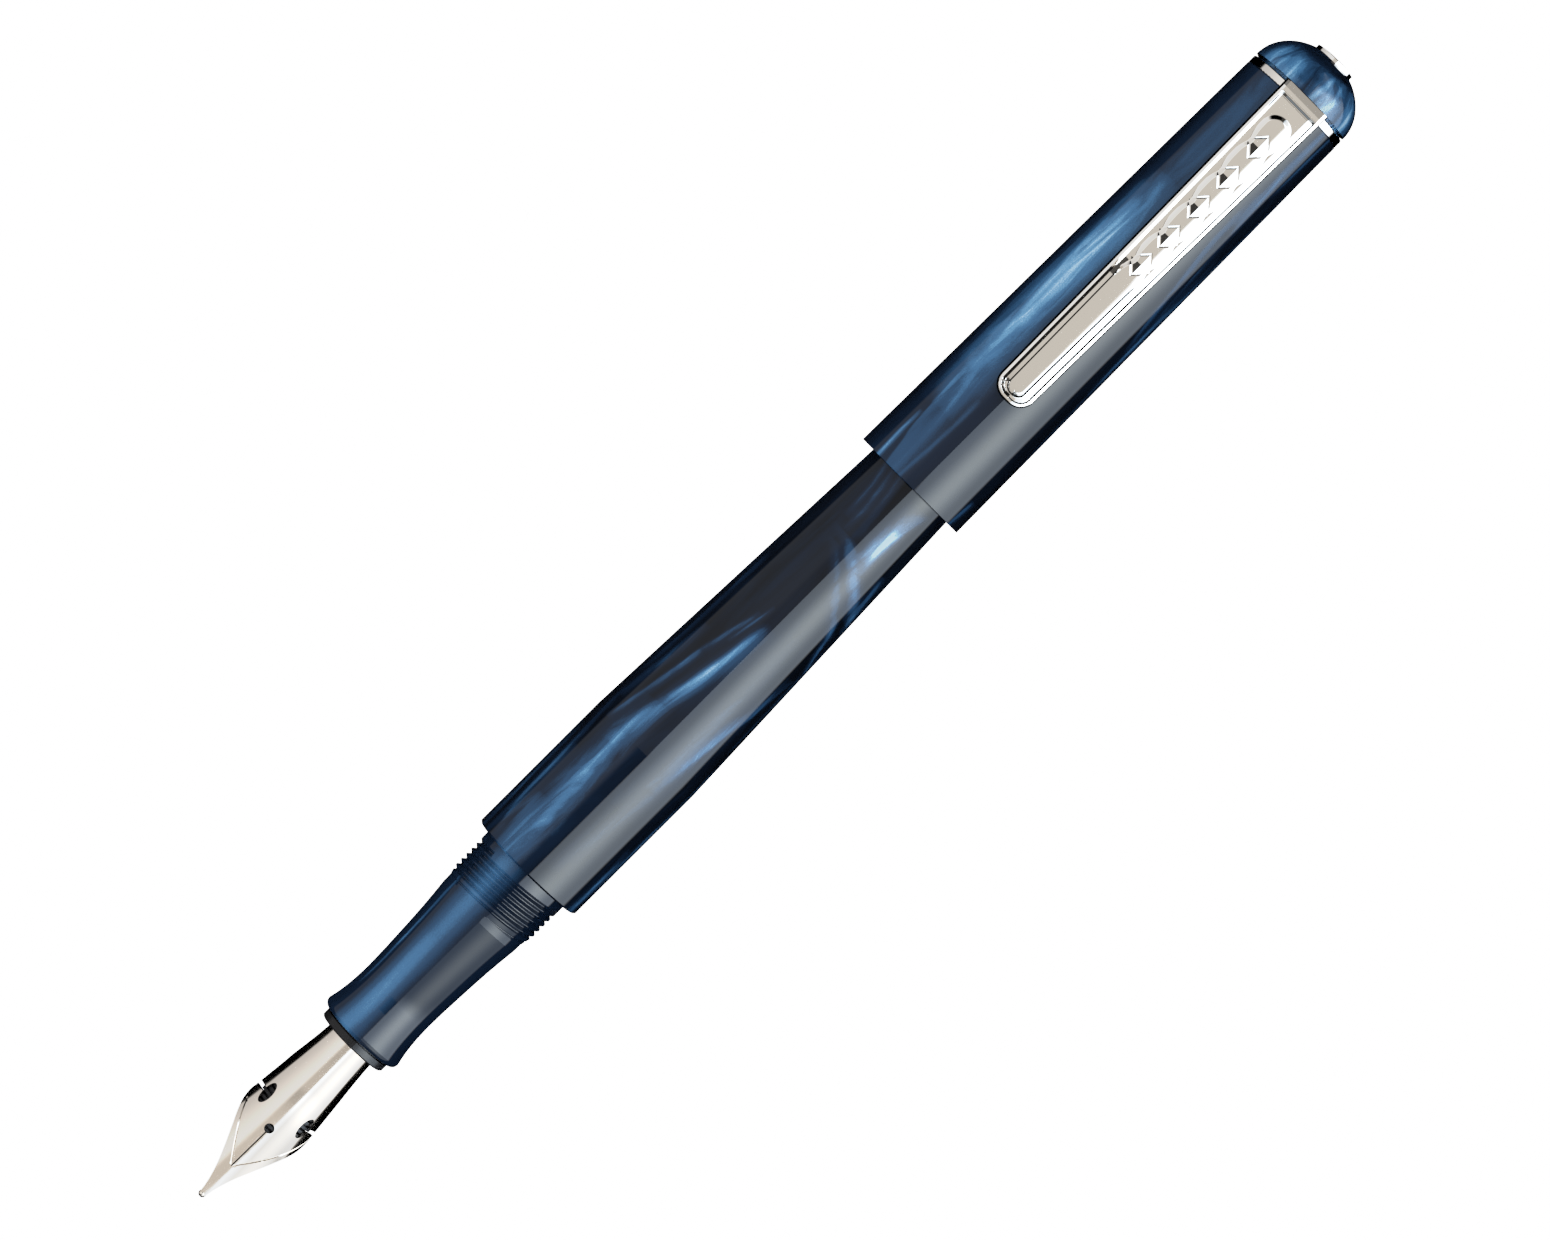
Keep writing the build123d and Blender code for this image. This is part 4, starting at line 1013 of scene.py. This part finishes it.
# Streaks of pearl: (stations), (angles), sag, (half widths left and right), strength.
barrel_streaks = [
    ((-40.0, -13.0), (-22.0, -32.0), -3.0, (13.0, 17.0), 0.48),
    ((-31.0, -18.0), (-25.0, -31.0), 0.0, (6.0, 7.0), 0.23),
    ((-20.0, 0.5), (-36.0, -5.0), 3.0, (6.0, 11.0), 0.48),
    ((-12.0, 0.8), (-24.0, -6.0), 2.0, (2.5, 5.0), 0.27),
    ((-17.5, -6.5), (-55.0, -35.0), 0.0, (2.0, 5.0), 0.39),
    ((-9.0, 1.0), (-40.0, -22.0), 0.0, (1.6, 4.0), 0.31),
    ((-4.0, 2.5), (-24.0, -15.0), 0.0, (1.4, 2.0), 0.25),
    ((-15.0, -4.0), (-66.0, -52.0), 0.0, (3.0, 6.0), 0.23),
    ((-36.0, -22.0), (-47.0, -58.0), -6.0, (3.0, 8.0), 0.27),
    ((-36.0, -14.0), (-62.0, -70.0), 4.0, (3.0, 4.0), 0.27),
    ((-36.0, -20.0), (-72.0, -78.0), 0.0, (6.0, 3.0), 0.23),
    ((-38.0, -28.0), (-30.0, -45.0), 0.0, (7.0, 7.0), 0.23),
    ((-12.0, 6.0), (-75.0, -70.0), 3.0, (3.0, 5.0), 0.17),
    ((13.0, 24.0), (-20.0, -42.0), 6.0, (3.0, 5.0), 0.23),
    ((12.0, 24.0), (-8.0, -28.0), 6.0, (3.0, 5.0), 0.2),
    ((14.0, 24.0), (-30.0, -58.0), 6.0, (3.0, 5.0), 0.22),
    ((-20.0, -2.0), (26.0, 62.0), -4.0, (9.0, 3.0), 0.47),
    ((-33.0, -8.0), (8.0, 44.0), 3.0, (8.0, 8.0), 0.23),
    ((-24.0, 2.0), (10.0, 22.0), 6.0, (7.0, 7.0), 0.2),
    ((3.5, 11.5), (58.0, -16.0), 0.0, (9.0, 7.0), 0.33),
    ((6.0, 13.0), (66.0, -12.0), 4.0, (14.0, 10.0), 0.58),
    ((10.8, 20.5), (24.0, 34.0), -7.0, (12.0, 6.0), 0.78),
    ((12.0, 17.0), (12.0, 24.0), 0.0, (6.0, 10.0), 0.39),
    ((-1.0, 6.0), (72.0, 46.0), 0.0, (5.0, 3.0), 0.47),
    ((-36.0, -20.0), (58.0, 70.0), 4.0, (4.0, 8.0), 0.39),
    ((-36.0, -26.0), (66.0, 60.0), 0.0, (3.0, 3.0), 0.31),
    ((-26.0, -12.0), (66.0, 74.0), 0.0, (3.0, 4.0), 0.27),
    ((5.0, 12.0), (72.0, 52.0), 0.0, (6.0, 6.0), 0.43),
    ((-12.0, 3.0), (66.0, 74.0), 0.0, (3.0, 3.0), 0.23),
]
cap_streaks = [
    ((16.0, 34.0), (-26.0, -48.0), -5.0, (1.4, 8.0), 0.26),
    ((32.0, 60.0), (-40.0, -64.0), 0.0, (4.0, 16.0), 0.24),
    ((18.0, 27.0), (-48.0, -50.0), 0.0, (2.0, 3.0), 0.45),
    ((18.0, 34.0), (-26.0, -34.0), 0.0, (4.0, 7.0), 0.22),
    ((18.0, 32.0), (-22.0, -13.0), 2.0, (2.0, 2.5), 0.18),
    ((28.0, 62.0), (-42.0, -40.0), -8.0, (20.0, 24.0), 0.42),
    ((34.0, 58.0), (-56.0, -48.0), -6.0, (10.0, 14.0), 0.12),
    ((44.0, 84.0), (-36.0, -38.0), 0.0, (26.0, 22.0), 0.13),
    ((19.0, 24.0), (50.0, 56.0), 0.0, (3.0, 3.0), 0.5),
    ((46.0, 68.0), (62.0, 34.0), -9.0, (3.0, 6.0), 0.36),
    ((48.0, 72.0), (66.0, 40.0), -4.0, (2.0, 4.0), 0.22),
    ((62.0, 82.0), (44.0, 42.0), -5.0, (4.0, 7.0), 0.5),
    ((68.0, 82.0), (50.0, 54.0), 0.0, (2.0, 3.0), 0.4),
    ((40.0, 70.0), (66.0, 76.0), 0.0, (3.0, 6.0), 0.3),
    ((30.0, 60.0), (74.0, 62.0), 0.0, (3.0, 5.0), 0.2),
]
section_streaks = [
    ((-66.0, -46.0), (-30.0, -30.0), 0.0, (14.0, 18.0), 0.1),
    ((-56.0, -40.0), (-66.0, -58.0), 0.0, (3.0, 3.0), 0.4),
]
finial_streaks = [
    ((74.5, 81.4), (-52.0, -50.0), 0.0, (20.0, 40.0), 0.62),
    ((74.5, 81.8), (24.0, 22.0), 0.0, (30.0, 30.0), 0.6),
    ((74.5, 81.6), (56.0, 52.0), 0.0, (9.0, 14.0), 0.62),
    ((74.5, 81.6), (0.0, 10.0), 0.0, (3.0, 4.0), 0.35),
    ((74.5, 81.6), (16.0, 26.0), 0.0, (3.0, 4.0), 0.35),
    ((74.5, 81.0), (-24.0, -30.0), 0.0, (4.0, 5.0), 0.35),
]
# Painted sheen: broad bands of pearl round the pen, painted brighter towards the left light and on top:
# (angle, spread, level).
cap_painted_sheen = [(-30.0, 30.0, 0.2), (0.0, 180.0, 0.06)]
barrel_painted_sheen = [(0.0, 180.0, 0.07)]
section_painted_sheen = [(-26.0, 19.0, 0.46), (0.0, 180.0, 0.17)]
finial_painted_sheen = [(0.0, 180.0, 0.1)]
cap_acrylic = acrylic("acrylic_cap", cap_painted_sheen, 0.12, cap_streaks, 1.0)
barrel_acrylic = acrylic("acrylic_barrel", barrel_painted_sheen, 0.18, barrel_streaks, 2.0)
section_acrylic = acrylic("acrylic_section", section_painted_sheen, 0.08, section_streaks, 3.0)
finial_acrylic = acrylic("acrylic_finial", finial_painted_sheen, 0.3, finial_streaks, 4.0)
assign(cap_acrylic, nodes["cap_body"])
assign(barrel_acrylic, nodes["barrel"])
assign(section_acrylic, nodes["section"])
assign(finial_acrylic, nodes["finial"])

CHROME_COLOUR = (0.80, 0.775, 0.735)
chrome = metal("chrome_plate", CHROME_COLOUR, 0.05)
# The nib's steel is painted darker on its -Y side, a painted shade.
nib_steel = metal("nib_steel", (0.80, 0.735, 0.665), 0.13, 0.15, painted_side_shade=True)
# The clip's chrome is painted near black on its steep walls, a painted shade.
clip_chrome = metal("clip_chrome", CHROME_COLOUR, 0.04, painted_wall_shade=True)
assign(chrome, nodes["clip_ring"], nodes["finial_disc"], nodes["converter_sleeve"])
assign(nib_steel, nodes["nib_tipping"])
assign(metal("brass", (0.66, 0.5, 0.22), 0.22), nodes["finial_nut"])
black = plastic("black_plastic", (0.008, 0.008, 0.009), 0.28)
for name in ("nib_housing", "converter_bushing", "converter_knob", "converter_piston"):
    assign(black, nodes[name])
feed_black = plastic("feed_plastic", (0.006, 0.006, 0.007), 0.4)
assign(plastic("inner_cap_plastic", (0.01, 0.01, 0.011), 0.45), nodes["inner_cap"])
assign(plastic("seal_rubber", (0.01, 0.01, 0.01), 0.6), nodes["section_o_ring"], nodes["piston_seal"])
assign(plastic("grey_plastic", (0.2, 0.2, 0.21), 0.4), nodes["converter_spindle"])
assign(clear_plastic("clear_plastic"), nodes["converter_tube"])

assign(nib_steel, make_nib())
assign(clip_chrome, make_clip())
assign(feed_black, make_feed())
